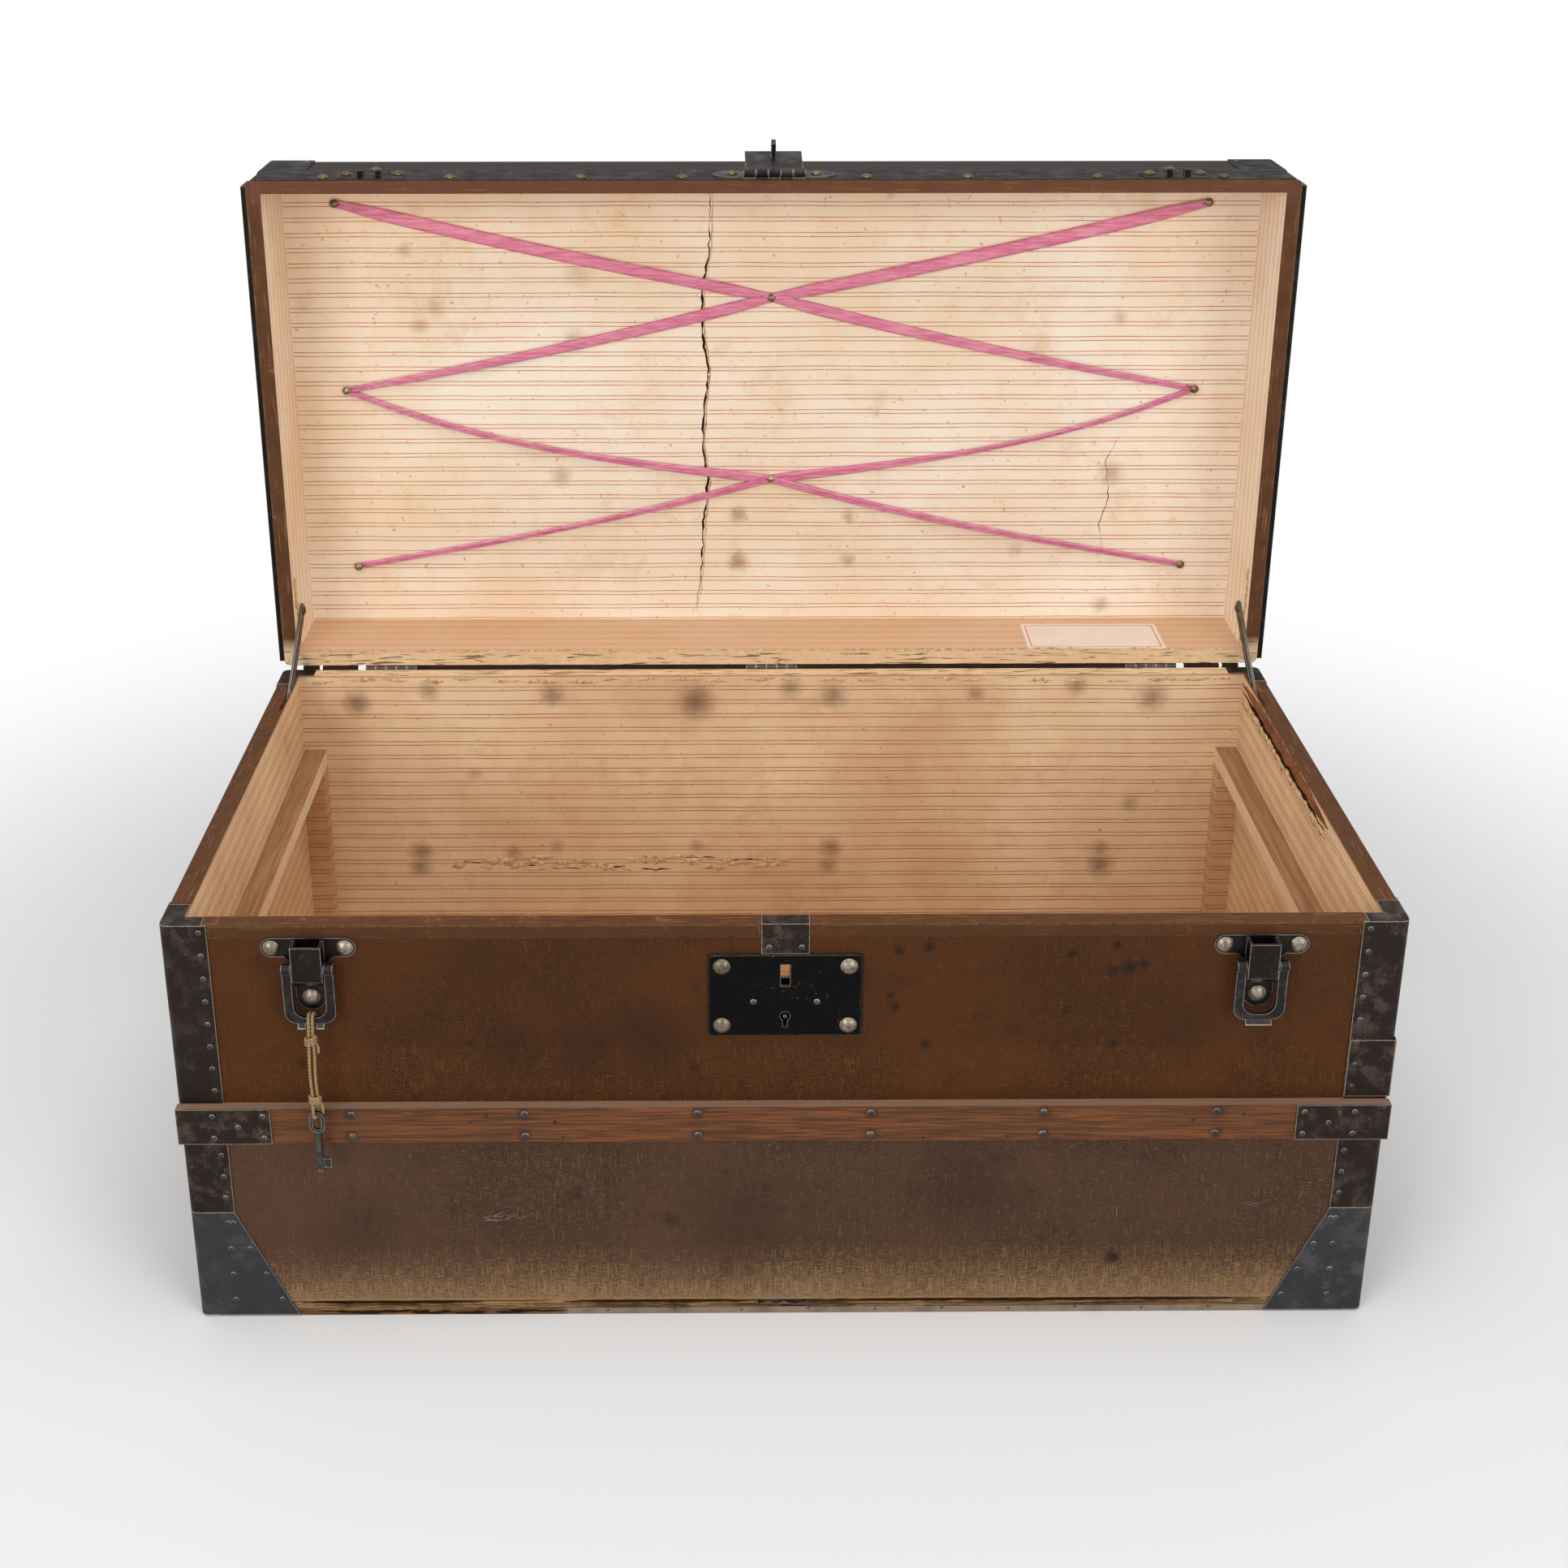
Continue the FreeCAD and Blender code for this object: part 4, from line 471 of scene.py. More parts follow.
colour = add(tree, "Mix", {0: worn, 6: paint, 7: thread}, 2, data_type="RGBA")
gaps = add(tree, "MapRange", {"Value": weave, "From Min": 0.6, "From Max": 1.5, "To Min": 0.5, "To Max": 0.0})
colour = add(tree, "Mix", {0: gaps, 6: colour, 7: "#2a180f"}, 2, data_type="RGBA")
LID_FRONT = (0.7078, 0.7088)  # the lid's front wall, on top while the lid is open, is nearly black
colour = tint(tree, colour, "#1a120e", z, *LID_FRONT, 0.95)
colour = add(tree, "Mix", {0: stained(tree, place, canvas_grime, 14.0), 6: colour, 7: "#251710"}, 2, data_type="RGBA")
colour = add(tree, "Mix", {0: stained(tree, place, canvas_spots, 5.0), 6: colour, 7: "#211913"}, 2, data_type="RGBA")
relief = add(tree, "Math", {0: smudge, 1: 2.0, 2: weave}, operation="MULTIPLY_ADD")
rough = add(tree, "MapRange", {"Value": worn, "To Min": 0.55, "To Max": 0.85})
surface(tree, {"Base Color": colour, "Roughness": rough, "Specular IOR Level": 0.1}, relief, 0.55, 0.35)
dress(canvas, "body_canvas", "lid_canvas")

# %% [markdown]
# ## Old iron and steel
# Bands, caps and brackets are thin rolled steel that has browned with age. The sheet is dark and half-glossy, mottled
# where grease and rust have marked it, with bright metal where hands and floors rubbed the edges. The lock plate is
# iron with a baked black varnish: glossy black, with brown specks where the varnish has let rust through, and a thin
# bright line along its bevel. On the hasp most of the varnish has gone grey. Strips on the lid's ends are painted
# black. All are one recipe with other tones.

# %% Material: old steel
EDGE_MM, MOTTLE_MM, BLOTCH_MM, SPECK_MM, DENT_MM = 1.4, 75, 14, 2.6, 30


def old_steel(name, base, fleck, bright, rough, wear, fleck_share):
    """Dark steel with flecks, blotches and rubbed edges."""
    steel, tree, place = blank(name)
    blotch = add(tree, "TexNoise", {"Vector": place, "Scale": 1 / (BLOTCH_MM * MM), "Detail": 8.0, "Roughness": 0.72})
    specks = add(tree, "TexNoise", {"Vector": place, "Scale": 1 / (SPECK_MM * MM), "Detail": 5.0, "Roughness": 0.7})
    tone = add(tree, "MapRange", {"Value": blotch, "From Min": 0.49, "From Max": 0.60, "To Max": fleck_share})
    mottle = add(tree, "TexNoise", {"Vector": place, "Scale": 1 / (MOTTLE_MM * MM)})
    where = add(tree, "MapRange", {"Value": mottle, "From Min": 0.42, "From Max": 0.6, "To Min": 0.25})
    tone = add(tree, "Math", {0: tone, 1: where}, operation="MULTIPLY")
    dots = add(tree, "MapRange", {"Value": specks, "From Min": 0.6, "From Max": 0.68, "To Max": 0.8})
    dots = add(tree, "Math", {0: dots, 1: tone}, operation="MULTIPLY")
    colour = add(tree, "Mix", {0: tone, 6: base, 7: fleck}, 2, data_type="RGBA")
    colour = add(tree, "Mix", {0: dots, 6: colour, 7: bright}, 2, data_type="RGBA")
    edge = add(tree, "Math", {0: worn_edges(tree, EDGE_MM), 1: specks}, operation="MULTIPLY")
    colour = tint(tree, colour, bright, edge, 0.15, 0.5, wear)
    grime = add(tree, "MapRange", {"Value": blotch, "From Min": 0.35, "From Max": 0.65, "To Min": rough + 0.16,
                                   "To Max": rough - 0.08})
    dents = add(tree, "TexNoise", {"Vector": place, "Scale": 1 / (DENT_MM * MM)})
    bumps = add(tree, "Math", {0: specks, 1: 0.08, 2: dents}, operation="MULTIPLY_ADD")
    surface(tree, {"Base Color": colour, "Metallic": 0.85, "Roughness": grime}, bumps, 0.5, 1.2)
    return steel


# For each finish: sheet, fleck and rubbed tones, roughness, wear of the edges, share of flecks, and its pieces
STEELS = {
    "browned_rolled_steel": ("#2b221e", "#5e5148", "#b9ac9c", 0.5, 1.0, 0.55,
                             ("corner_bands", "slat_brackets", "lock_strap", "base_plate")),
    "blued_cap_steel": ("#3d3c3e", "#6a696a", "#aaa8a4", 0.52, 0.9, 0.42, ("bottom_caps", "steel_nails", "lid_nails")),
    "worn_gunmetal_catch": ("#1e1a18", "#3d3631", "#b5aea3", 0.32, 1.0, 0.6, ("catch_plates", "bail_pins")),
    "mottled_bail_steel": ("#262322", "#4d4743", "#a19a92", 0.42, 1.0, 0.6, ("left_bail", "right_bail")),
    "forged_key_iron": ("#3b3735", "#777069", "#bdb8b0", 0.40, 0.7, 0.6,
                        ("slat_screws", "key", "lock_case", "lock_bolt", "lock_spring", "handle_mounts")),
    "rolled_hinge_steel": ("#474039", "#6d645a", "#b5aea4", 0.42, 1.0, 0.6,
                           ("hinge_body_leaves", "hinge_lid_leaves", "hinge_pins", "stay_guide_pins", "stay_pivots",
                            "right_stay", "left_stay")),
    "blackened_lid_iron": ("#15110f", "#2b231e", "#7d7062", 0.62, 0.7, 0.5,
                           ("lid_front_band", "lid_corner_caps", "lid_keepers")),
    "black_varnished_iron": ("#050505", "#14100e", "#8d8274", 0.30, 1.0, 0.35, ("lock_plate",)),
    "grey_hasp_iron": ("#1f1c1b", "#403a35", "#a0988d", 0.48, 1.0, 0.6, ("hasp_plate", "hasp_flap", "hasp_pin")),
    "black_painted_strip": ("#17120f", "#33271f", "#8a7660", 0.5, 0.8, 0.6, ("lid_edge_strips",))}
steels = {}
for name, (*finish, nodes) in STEELS.items():
    steels[name] = old_steel(name, *finish)
    dress(steels[name], *nodes)

# %% [markdown]
# ## Rivets
# The rivets are domed brass that was nickel plated. The plating has gone warm and dull, with patches of dark grime.
# A random value for each loose part of the mesh makes every rivet a little different.

# %% Material: worn nickelled brass
GRIME_MM = 3.5
RIVETS = {"worn_nickelled_brass": ("#716657", "#968b7c", "#43382d", "body_rivets"),
          "tarnished_bronze": ("#5a4630", "#7d6444", "#332619", "lid_rivets"),
          "rubbed_brass_nail": ("#77694f", "#a3967c", "#4f432f", "ribbon_nails")}
for name, (dark, light, grimy, node) in RIVETS.items():
    head, tree, place = blank(name)
    grime = add(tree, "TexNoise", {"Vector": place, "Scale": 1 / (GRIME_MM * MM), "Detail": 5.0, "Roughness": 0.65})
    each = add(tree, "NewGeometry", {}, "Random Per Island")
    plate = add(tree, "Mix", {0: each, 6: dark, 7: light}, 2, data_type="RGBA")
    colour = tint(tree, plate, grimy, grime, 0.48, 0.66, 0.75)
    rough = add(tree, "MapRange", {"Value": grime, "From Min": 0.3, "From Max": 0.7, "To Min": 0.24, "To Max": 0.5})
    surface(tree, {"Base Color": colour, "Metallic": 0.95, "Roughness": rough}, grime, 0.25, 0.3)
    dress(head, node)

# %% [markdown]
# ## Slat wood
# The slats are hardwood, stained reddish brown. Grain runs along the trunk. Dust lies grey on the upper face, and the
# iron of the screws has stained dark rings.

# %% Material: stained beech slat
SCREW_PITCH, SCREW_ROWS_Z, SCREW_ROW_HALF = 114.4 * MM, 160.5 * MM, 8.5 * MM
SLAT_Y = -206.2
BEECH_GRAIN_MM, STAIN_MM = (40, 1.5, 1.5), 60
worm_holes = on_wall(SLAT_Y, (
    (-196, 168, 0.9, 1.1), (-207, 163, 0.8, 1.1), (-151, 163, 1.1, 1.1), (-146, 151, 0.9, 1.1), (270, 162, 1.1, 1.1),
    (303, 167, 1.0, 1.1), (92, 149, 0.9, 1.1), (148, 150, 0.9, 1.1)))
beech, tree, place = blank("stained_beech")
x, z = [add(tree, "SeparateXYZ", {"Vector": place}, axis) for axis in (0, 2)]
grain = fibres(tree, place, BEECH_GRAIN_MM, 8.0, 0.8)
stain = add(tree, "TexNoise", {"Vector": place, "Scale": 1 / (STAIN_MM * MM), "Detail": 4.0})
stain = add(tree, "Mix", {0: stain, 6: "#5d3519", 7: "#85502a"}, 2, data_type="RGBA")
colour = tint(tree, "#4f2e18", stain, grain, 0.42, 0.6)
along = add(tree, "Math", {0: x, 1: SCREW_PITCH / 2}, operation="ADD")
along = add(tree, "Math", {0: along, 1: SCREW_PITCH / 2}, operation="PINGPONG")
rise = add(tree, "Math", {0: z, 1: SCREW_ROWS_Z}, operation="SUBTRACT")
rise = add(tree, "Math", {0: rise}, operation="ABSOLUTE")
rise = add(tree, "Math", {0: rise, 1: SCREW_ROW_HALF}, operation="SUBTRACT")
away = add(tree, "VectorMath", {0: add(tree, "CombineXYZ", {0: along, 1: rise})}, "Value", operation="LENGTH")
colour = tint(tree, colour, "#24140e", away, 6 * MM, 2.5 * MM, 0.6)
colour = add(tree, "Mix", {0: stained(tree, place, worm_holes, 0.5), 6: colour, 7: "#0d0806"}, 2, data_type="RGBA")
facing = add(tree, "SeparateXYZ", {"Vector": add(tree, "TexCoord", {}, "Normal")}, 2)
colour = tint(tree, colour, "#a88a74", facing, 0.3, 0.8, 0.55)
surface(tree, {"Base Color": colour, "Roughness": 0.52, "Specular IOR Level": 0.22}, grain, 0.5, 0.5)
dress(beech, "front_slat", "back_slat")

# %% [markdown]
# ## Bare pine
# The boards, runners and rim show raw pine where the covering has gone: pale, grey with dirt in the grain, and torn
# along the edges. The runners are scuffed paler along the floor, right of where a piece broke off, and have nails.

# %% Material: weathered pine
RUNNER_FRONT_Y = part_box("bottom_runners")[0][1] / MM
runner_nails = [(-120 + 46 * i, RUNNER_FRONT_Y, 3 + i % 2, 0.9, 1.1) for i in range(10)]
BREAK_END_X = (-0.152, -0.146)
FOOT_Z = (5.6 * MM, 4.8 * MM)
PINE_GRAIN_MM, DIRT_MM = (60, 3, 1.6), 28


def raw_pine(name, dark, light, dirty, foot=None):
    """Bare pine with grain along the trunk. foot is a colour for the lowest few mm, where there are nails too."""
    board, tree, place = blank(name)
    grain = fibres(tree, place, PINE_GRAIN_MM, 7.0, 0.6)
    stain = add(tree, "TexNoise", {"Vector": place, "Scale": 1 / (DIRT_MM * MM), "Detail": 6.0, "Roughness": 0.7})
    colour = tint(tree, dark, light, grain, 0.4, 0.62)
    if foot:
        x, z = [add(tree, "SeparateXYZ", {"Vector": place}, axis) for axis in (0, 2)]
        low = add(tree, "MapRange", {"Value": z, "From Min": FOOT_Z[0], "From Max": FOOT_Z[1]})
        kept = add(tree, "MapRange", {"Value": x, "From Min": BREAK_END_X[0], "From Max": BREAK_END_X[1]})
        scuffed = add(tree, "Math", {0: low, 1: kept}, operation="MULTIPLY")
        colour = add(tree, "Mix", {0: scuffed, 6: colour, 7: foot}, 2, data_type="RGBA")
    colour = tint(tree, colour, dirty, stain, 0.45, 0.66, 0.5 if foot else 0.85)
    if foot:
        nails = stained(tree, place, runner_nails, 0.5)
        colour = add(tree, "Mix", {0: nails, 6: colour, 7: "#17100b"}, 2, data_type="RGBA")
    surface(tree, {"Base Color": colour, "Roughness": 0.8, "Specular IOR Level": 0.25}, grain, 0.6, 0.6)
    return board


pine = raw_pine("weathered_pine", "#5b4029", "#a98458", "#38271a")
reddish_pine = raw_pine("bare_reddish_pine", "#7a4a31", "#a86e4a", "#5a3826")
runner_pine = raw_pine("scuffed_runner_pine", "#4a3120", "#8a6642", "#33241a", "#8c7a68")
dress(pine, "front_board", "back_board", "right_end_board", "left_end_board", "bottom_board",
      "lid_front_board", "lid_back_board", "lid_right_board", "lid_left_board", "lid_top_board")
dress(runner_pine, "bottom_runners")

# %% [markdown]
# ## Ruled lining paper
# The inside is covered in cream paper ruled with pairs of thin red lines. Age has browned it, damp has spotted it, and
# rust from the nails outside has come through in small specks. The lines run level round the walls, so the coordinate
# that counts them is chosen by the way each face looks.

# %% Material: ruled lining paper
PAIR_PITCH, PAIR_GAP, LINE_HALF, LINE_STRAY = 12.3 * MM, 3.2 * MM, 0.4 * MM, 2.2 * MM
STRAY_MM, INK_MM, AGEING_MM, DAMP_MM, RUST_MM, PULP_MM = 90, 25, 150, 42, 4.5, 2


def ruled_paper(name, fresh, aged, ruling, spots, marks, in_lid=False):
    """Paper with ruled pairs, from its fresh to its aged tone. spots are (x, y, z, radius, strength) in mm, and marks
    the colours of tide lines, small rust specks and stains."""
    paper, tree, place = blank(name)
    y, z = [add(tree, "SeparateXYZ", {"Vector": place}, axis) for axis in (1, 2)]
    normal = add(tree, "TexCoord", {}, "Normal")
    ny, nz = [add(tree, "Math", {0: add(tree, "SeparateXYZ", {"Vector": normal}, axis)}, operation="ABSOLUTE")
              for axis in (1, 2)]
    flat = add(tree, "Math", {0: ny if in_lid else nz, 1: 0.5}, operation="GREATER_THAN")
    count = add(tree, "Mix", {0: flat, 2: y if in_lid else z, 3: z if in_lid else y})
    wander = add(tree, "TexNoise", {"Vector": place, "Scale": 1 / (STRAY_MM * MM)})
    count = add(tree, "Math", {0: wander, 1: LINE_STRAY, 2: count}, operation="MULTIPLY_ADD")
    ruled = None
    for gap in (0.0, PAIR_GAP):
        off = add(tree, "Math", {0: add(tree, "Math", {0: count, 1: gap}, operation="SUBTRACT"), 1: PAIR_PITCH / 2},
                  operation="PINGPONG")
        line = add(tree, "MapRange", {"Value": off, "From Min": LINE_HALF * 1.5, "From Max": LINE_HALF * 0.5})
        ruled = line if ruled is None else add(tree, "Math", {0: ruled, 1: line}, operation="MAXIMUM")
    ink = add(tree, "TexNoise", {"Vector": place, "Scale": 1 / (INK_MM * MM), "Detail": 6.0, "Roughness": 0.7})
    ink = add(tree, "MapRange", {"Value": ink, "From Min": 0.3, "From Max": 0.6, "To Min": 0.5, "To Max": 0.95})
    inked = add(tree, "Math", {0: ruled, 1: ink}, operation="MULTIPLY")
    age = add(tree, "TexNoise", {"Vector": place, "Scale": 1 / (AGEING_MM * MM), "Detail": 5.0, "Roughness": 0.6})
    colour = tint(tree, fresh, aged, age, 0.38, 0.66)
    if in_lid:
        level = add(tree, "Math", {0: nz, 1: 0.75}, operation="MULTIPLY")
        colour = add(tree, "Mix", {0: level, 6: colour, 7: "#cb9f70"}, 2, data_type="RGBA")
    colour = add(tree, "Mix", {0: inked, 6: colour, 7: ruling}, 2, data_type="RGBA")
    damp = add(tree, "TexNoise", {"Vector": place, "Scale": 1 / (DAMP_MM * MM), "Detail": 8.0, "Roughness": 0.75})
    colour = tint(tree, colour, marks[0], damp, 0.54, 0.74, 0.38)
    rust = add(tree, "TexNoise", {"Vector": place, "Scale": 1 / (RUST_MM * MM)})
    colour = tint(tree, colour, marks[1], rust, 0.69, 0.77, 0.6)
    colour = add(tree, "Mix", {0: stained(tree, place, spots, 8.0), 6: colour, 7: marks[2]}, 2, data_type="RGBA")
    pulp = add(tree, "TexNoise", {"Vector": place, "Scale": 1 / (PULP_MM * MM), "Detail": 4.0})
    wrinkle = add(tree, "Math", {0: damp, 1: 5.0, 2: pulp}, operation="MULTIPLY_ADD")
    surface(tree, {"Base Color": colour, "Roughness": 0.82, "Specular IOR Level": 0.25}, wrinkle, 0.35, 0.5)
    return paper


BACK_WALL_Y, LID_PANEL_Y = 188.0, 276.4
back_wall_spots = on_wall(BACK_WALL_Y, (
    (-340, 283, 9, 0.8), (-280, 294, 7, 0.6), (-180, 290, 8, 0.7), (-62, 284, 12, 0.9), (15, 296, 8, 0.6),
    (50, 289, 9, 0.7), (168, 290, 6, 0.6), (250, 297, 7, 0.6), (312, 286, 10, 0.7), (-294, 145, 8, 0.7),
    (-296, 131, 7, 0.7), (-217, 144, 6, 0.6), (-180, 150, 5, 0.5), (-62, 150, 5, 0.5), (50, 148, 8, 0.7),
    (49, 131, 7, 0.6), (278, 146, 7, 0.6), (279, 131, 9, 0.8), (300, 189, 6, 0.5), (-246, 218, 5, 0.4)))
lid_spots = on_wall(LID_PANEL_Y, (
    (-155, 621, 9, 0.35), (-159, 565, 8, 0.5), (-286, 578, 6, 0.4), (-272, 594, 6, 0.4), (-174, 449, 7, 0.5),
    (284, 451, 8, 0.6), (283, 584, 5, 0.4), (-27, 415, 6, 0.7), (66, 413, 5, 0.6), (-27, 373, 7, 0.8),
    (66, 374, 5, 0.6), (282, 333, 6, 0.5), (-294, 640, 5, 0.4), (207, 383, 5, 0.4), (94, 686, 4, 0.4)))
DARK_MARKS, PALE_MARKS = ("#a98155", "#9a6a38", "#69432f"), ("#d09c5f", "#b87c3c", "#94602f")
dress(ruled_paper("ruled_paper_in_body", "#ead0aa", "#d3b088", "#b4543c", back_wall_spots, DARK_MARKS), "body_linings")
# The posts get a darker copy of the walls' paper: a painted shade that sets them off from the wall
dress(ruled_paper("ruled_paper_on_posts_painted_shade", "#d6b68d", "#bd9269", "#a5503a", back_wall_spots[:2], DARK_MARKS),
      "tray_posts")
dress(ruled_paper("ruled_paper_in_lid", "#fcefdb", "#f3dcbb", "#c97b5e", lid_spots, PALE_MARKS, True), "lid_linings")

# %% [markdown]
# ## Rim tape
# A folded brown cloth tape covers the boards' edges at the rim. Streaks of wear run along each edge. On the lid's back
# edge it has worn through to pale, split wood, and along the lid's front edge it is redder.

# %% Material: rim tape
END_RIM_X = 0.386
SCUFF_MM, NAP_MM, STREAK_MM, STREAK_RUN_MM, TAPE_EDGE_MM = 18, 2, 1.2, 30, 0.35
SPLIT_MM = (26, 1.6, 1.6)
tape, tree, place = blank("brown_cloth_tape")
x, y, z = [add(tree, "SeparateXYZ", {"Vector": place}, axis) for axis in range(3)]
scuff = add(tree, "TexNoise", {"Vector": place, "Scale": 1 / (SCUFF_MM * MM), "Detail": 8.0, "Roughness": 0.75})
nap = add(tree, "TexNoise", {"Vector": place, "Scale": 1 / (NAP_MM * MM), "Detail": 3.0})
brown = add(tree, "Mix", {0: scuff, 6: "#3a2416", 7: "#70472b"}, 2, data_type="RGBA")
on_end = add(tree, "Math", {0: add(tree, "Math", {0: x}, operation="ABSOLUTE"), 1: END_RIM_X}, operation="GREATER_THAN")
along_front = fibres(tree, place, (STREAK_RUN_MM, STREAK_MM, STREAK_MM), 3.0)
along_end = fibres(tree, place, (STREAK_MM, STREAK_RUN_MM, STREAK_RUN_MM), 3.0)
streaks = add(tree, "Mix", {0: on_end, 2: along_front, 3: along_end})
rubbed = add(tree, "Math", {0: worn_edges(tree, TAPE_EDGE_MM, 0.99, 0.8), 1: nap}, operation="MULTIPLY")
bare = None
for share, low, high, most in ((scuff, 0.6, 0.7, 0.6), (streaks, 0.6, 0.72, 0.55), (rubbed, 0.3, 0.6, 1.0)):
    wear = add(tree, "MapRange", {"Value": share, "From Min": low, "From Max": high, "To Max": most})
    bare = wear if bare is None else add(tree, "Math", {0: bare, 1: wear}, operation="MAXIMUM")
colour = add(tree, "Mix", {0: bare, 6: brown, 7: "#a67c52"}, 2, data_type="RGBA")
splits = fibres(tree, place, SPLIT_MM, 5.0, 0.6)
raw = add(tree, "Mix", {0: scuff, 6: "#fae4c0", 7: "#cf9f68"}, 2, data_type="RGBA")
raw = tint(tree, raw, "#4f331d", splits, 0.57, 0.62, 0.8)
behind = add(tree, "MapRange", {"Value": y, "From Min": 0.17, "From Max": 0.186})
low_lid = add(tree, "MapRange", {"Value": z, "From Min": 0.335, "From Max": 0.322})
bare_edge = add(tree, "Math", {0: behind, 1: low_lid}, operation="MULTIPLY")
colour = add(tree, "Mix", {0: bare_edge, 6: colour, 7: raw}, 2, data_type="RGBA")
BELOW_RIM, LID_FRONT_EDGE = (0.3078, 0.3066), (0.69, 0.70)
colour = tint(tree, colour, "#45260f", z, *BELOW_RIM, 0.6)
colour = tint(tree, colour, "#6f4535", z, *LID_FRONT_EDGE, 0.5)
relief = add(tree, "Math", {0: nap, 1: scuff}, operation="ADD")
surface(tree, {"Base Color": colour, "Roughness": 0.72, "Specular IOR Level": 0.15}, relief, 0.6, 0.5)
dress(tape, "rim_binding", "lid_rim_binding")

# %% [markdown]
# ## Rails of bare wood
# The tray rails' tops have lost their paper. What shows is brown, dusty wood with grain along the rail. Their sides
# keep paper, drawn lighter than the walls' paper as a painted light on sides that sit in shade.

# %% Material: dusty rail wood
RAIL_GRAIN_MM, DUST_MM = (2.2, 55, 2.2), 20
rail_wood, tree, place = blank("dusty_rail_wood")
grain = fibres(tree, place, RAIL_GRAIN_MM, 6.0, 0.5)
dusty = add(tree, "TexNoise", {"Vector": place, "Scale": 1 / (DUST_MM * MM), "Detail": 7.0, "Roughness": 0.7})
colour = tint(tree, "#8a6548", "#a87f59", grain, 0.4, 0.62)
colour = tint(tree, colour, "#946e4f", dusty, 0.45, 0.7, 0.7)
facing = add(tree, "SeparateXYZ", {"Vector": add(tree, "TexCoord", {}, "Normal")}, 2)
# Faces that don't face up get paper lighter than the walls' paper: a painted light on these shaded sides
side_paper_painted_light = add(tree, "Mix", {0: dusty, 6: "#efdcc0", 7: "#d6b692"}, 2, data_type="RGBA")
colour = tint(tree, colour, side_paper_painted_light, facing, 0.6, 0.4)
surface(tree, {"Base Color": colour, "Roughness": 0.8, "Specular IOR Level": 0.25}, grain, 0.5, 0.4)
dress(rail_wood, "tray_rails")

# %% [markdown]
# ## Torn paper, raw wood and cracks
# Age shows best as real shapes. Every tear here is a ragged plate: a line with a random width on both sides, a little
# proud of the surface, thinnest at its ends. One helper makes it on any plane from a starting corner and two
# directions. The same plate gives torn paper, bare splintered wood and, in a dark finish, the painted shade inside a
# crack or gap.

# %% Ragged plates


def walk(start, end, steps, sway):
    """Points from start to end that stray sideways by a random share of a sway in mm."""
    return [start.lerp(end, i / steps) + sway * MM * random.uniform(-1, 1) for i in range(steps + 1)]


def ragged(plates, spine, across, out, half_width, lift, roughness=0.6, end_share=0.12):
    """Add a thin closed plate along a line of points, with its half width and lift in mm. across is the way it widens,
    out the way it stands, and end_share the share of its width left at its tapered ends."""
    verts, faces = plates
    base = len(verts)
    last = len(spine) - 1
    for i, point in enumerate(spine):
        taper = min(1.0, 4.0 * min(i, last - i) / last + end_share) * half_width * MM
        high = taper * (1 + roughness * random.uniform(-1, 1))
        low = taper * (1 + roughness * random.uniform(-1, 1))
        rise = lift * MM * (0.55 + 0.45 * random.random())
        verts += [point + across * high, point + across * high * 0.8 + out * rise,
                  point - across * low * 0.8 + out * rise * 0.8, point - across * low]
    for i in range(last):
        a = base + 4 * i
        for k in range(4):
            faces.append((a + k, a + (k + 1) % 4, a + 4 + (k + 1) % 4, a + 4 + k))
    faces.append((base + 3, base + 2, base + 1, base))
    faces.append(tuple(base + 4 * last + k for k in range(4)))


def tear(plates, start, end, steps, sway, across, out, half_width, lift, roughness=0.6, end_share=0.12):
    """A ragged plate from start to end. A half width or lift given as two numbers is drawn between them."""
    spine = walk(start, end, steps, sway)
    drawn = [random.uniform(*size) if isinstance(size, tuple) else size for size in (half_width, lift)]
    ragged(plates, spine, across, out, *drawn, roughness, end_share)


print("ragged plates ready")

# %% Material: torn paper, and dark plates that paint the shade in gaps
TORN_MM, SHADE_MM = 4, 6
torn, tree, place = blank("torn_paper_edge")
pulp = add(tree, "TexNoise", {"Vector": place, "Scale": 1 / (TORN_MM * MM), "Detail": 6.0, "Roughness": 0.7})
colour = tint(tree, "#a87c4c", "#ead2a6", pulp, 0.35, 0.65)
surface(tree, {"Base Color": colour, "Roughness": 0.88, "Specular IOR Level": 0.2}, pulp, 0.6, 0.4)
# Dark finish: in cracks and gaps it is a painted shade; on the bottom edge's dark strip it is that strip's own colour
gap, tree, place = blank("painted_gap_shade_and_dark_edging")
shade = add(tree, "TexNoise", {"Vector": place, "Scale": 1 / (SHADE_MM * MM), "Detail": 4.0})
colour = add(tree, "Mix", {0: shade, 6: "#140c07", 7: "#3b2716"}, 2, data_type="RGBA")
surface(tree, {"Base Color": colour, "Roughness": 0.95, "Specular IOR Level": 0.05})
print("finishes for torn paper and gaps")

# %% [markdown]
# The lid's board has split. The crack runs down the paper left of the middle, wide in places and hair-thin in others,
# with one edge of the paper lifted beside it. A second, faint one starts near the right.

# %% Cracks in the lid's paper
CRACK = [(-54.0, 699.0), (-48.5, 682.0), (-50.0, 640.0), (-55.0, 617.0), (-56.0, 588.0), (-54.5, 560.0), (-51.0, 541.0),
         (-54.5, 511.0), (-56.5, 477.0), (-52.0, 443.0), (-55.0, 413.0), (-58.0, 367.0), (-60.5, 346.0), (-65.5, 322.0)]
FAINT_CRACK = [(290.0, 486.0), (279.0, 462.0), (283.0, 430.0), (276.0, 405.0), (281.0, 380.0)]
LIP_OFF = 1.7


def crack_points(line, spacing_mm, sway):
    """Points along a broken line on the lid's paper, a few mm apart, each strayed sideways."""
    spots = []
    for (x0, z0), (x1, z1) in zip(line, line[1:]):
        start, end = at(x0, LID_PANEL_Y, z0), at(x1, LID_PANEL_Y, z1)
        spots += walk(start, end, max(3, int((start - end).length / (spacing_mm * MM))), RIGHT * sway)[:-1]
    return spots
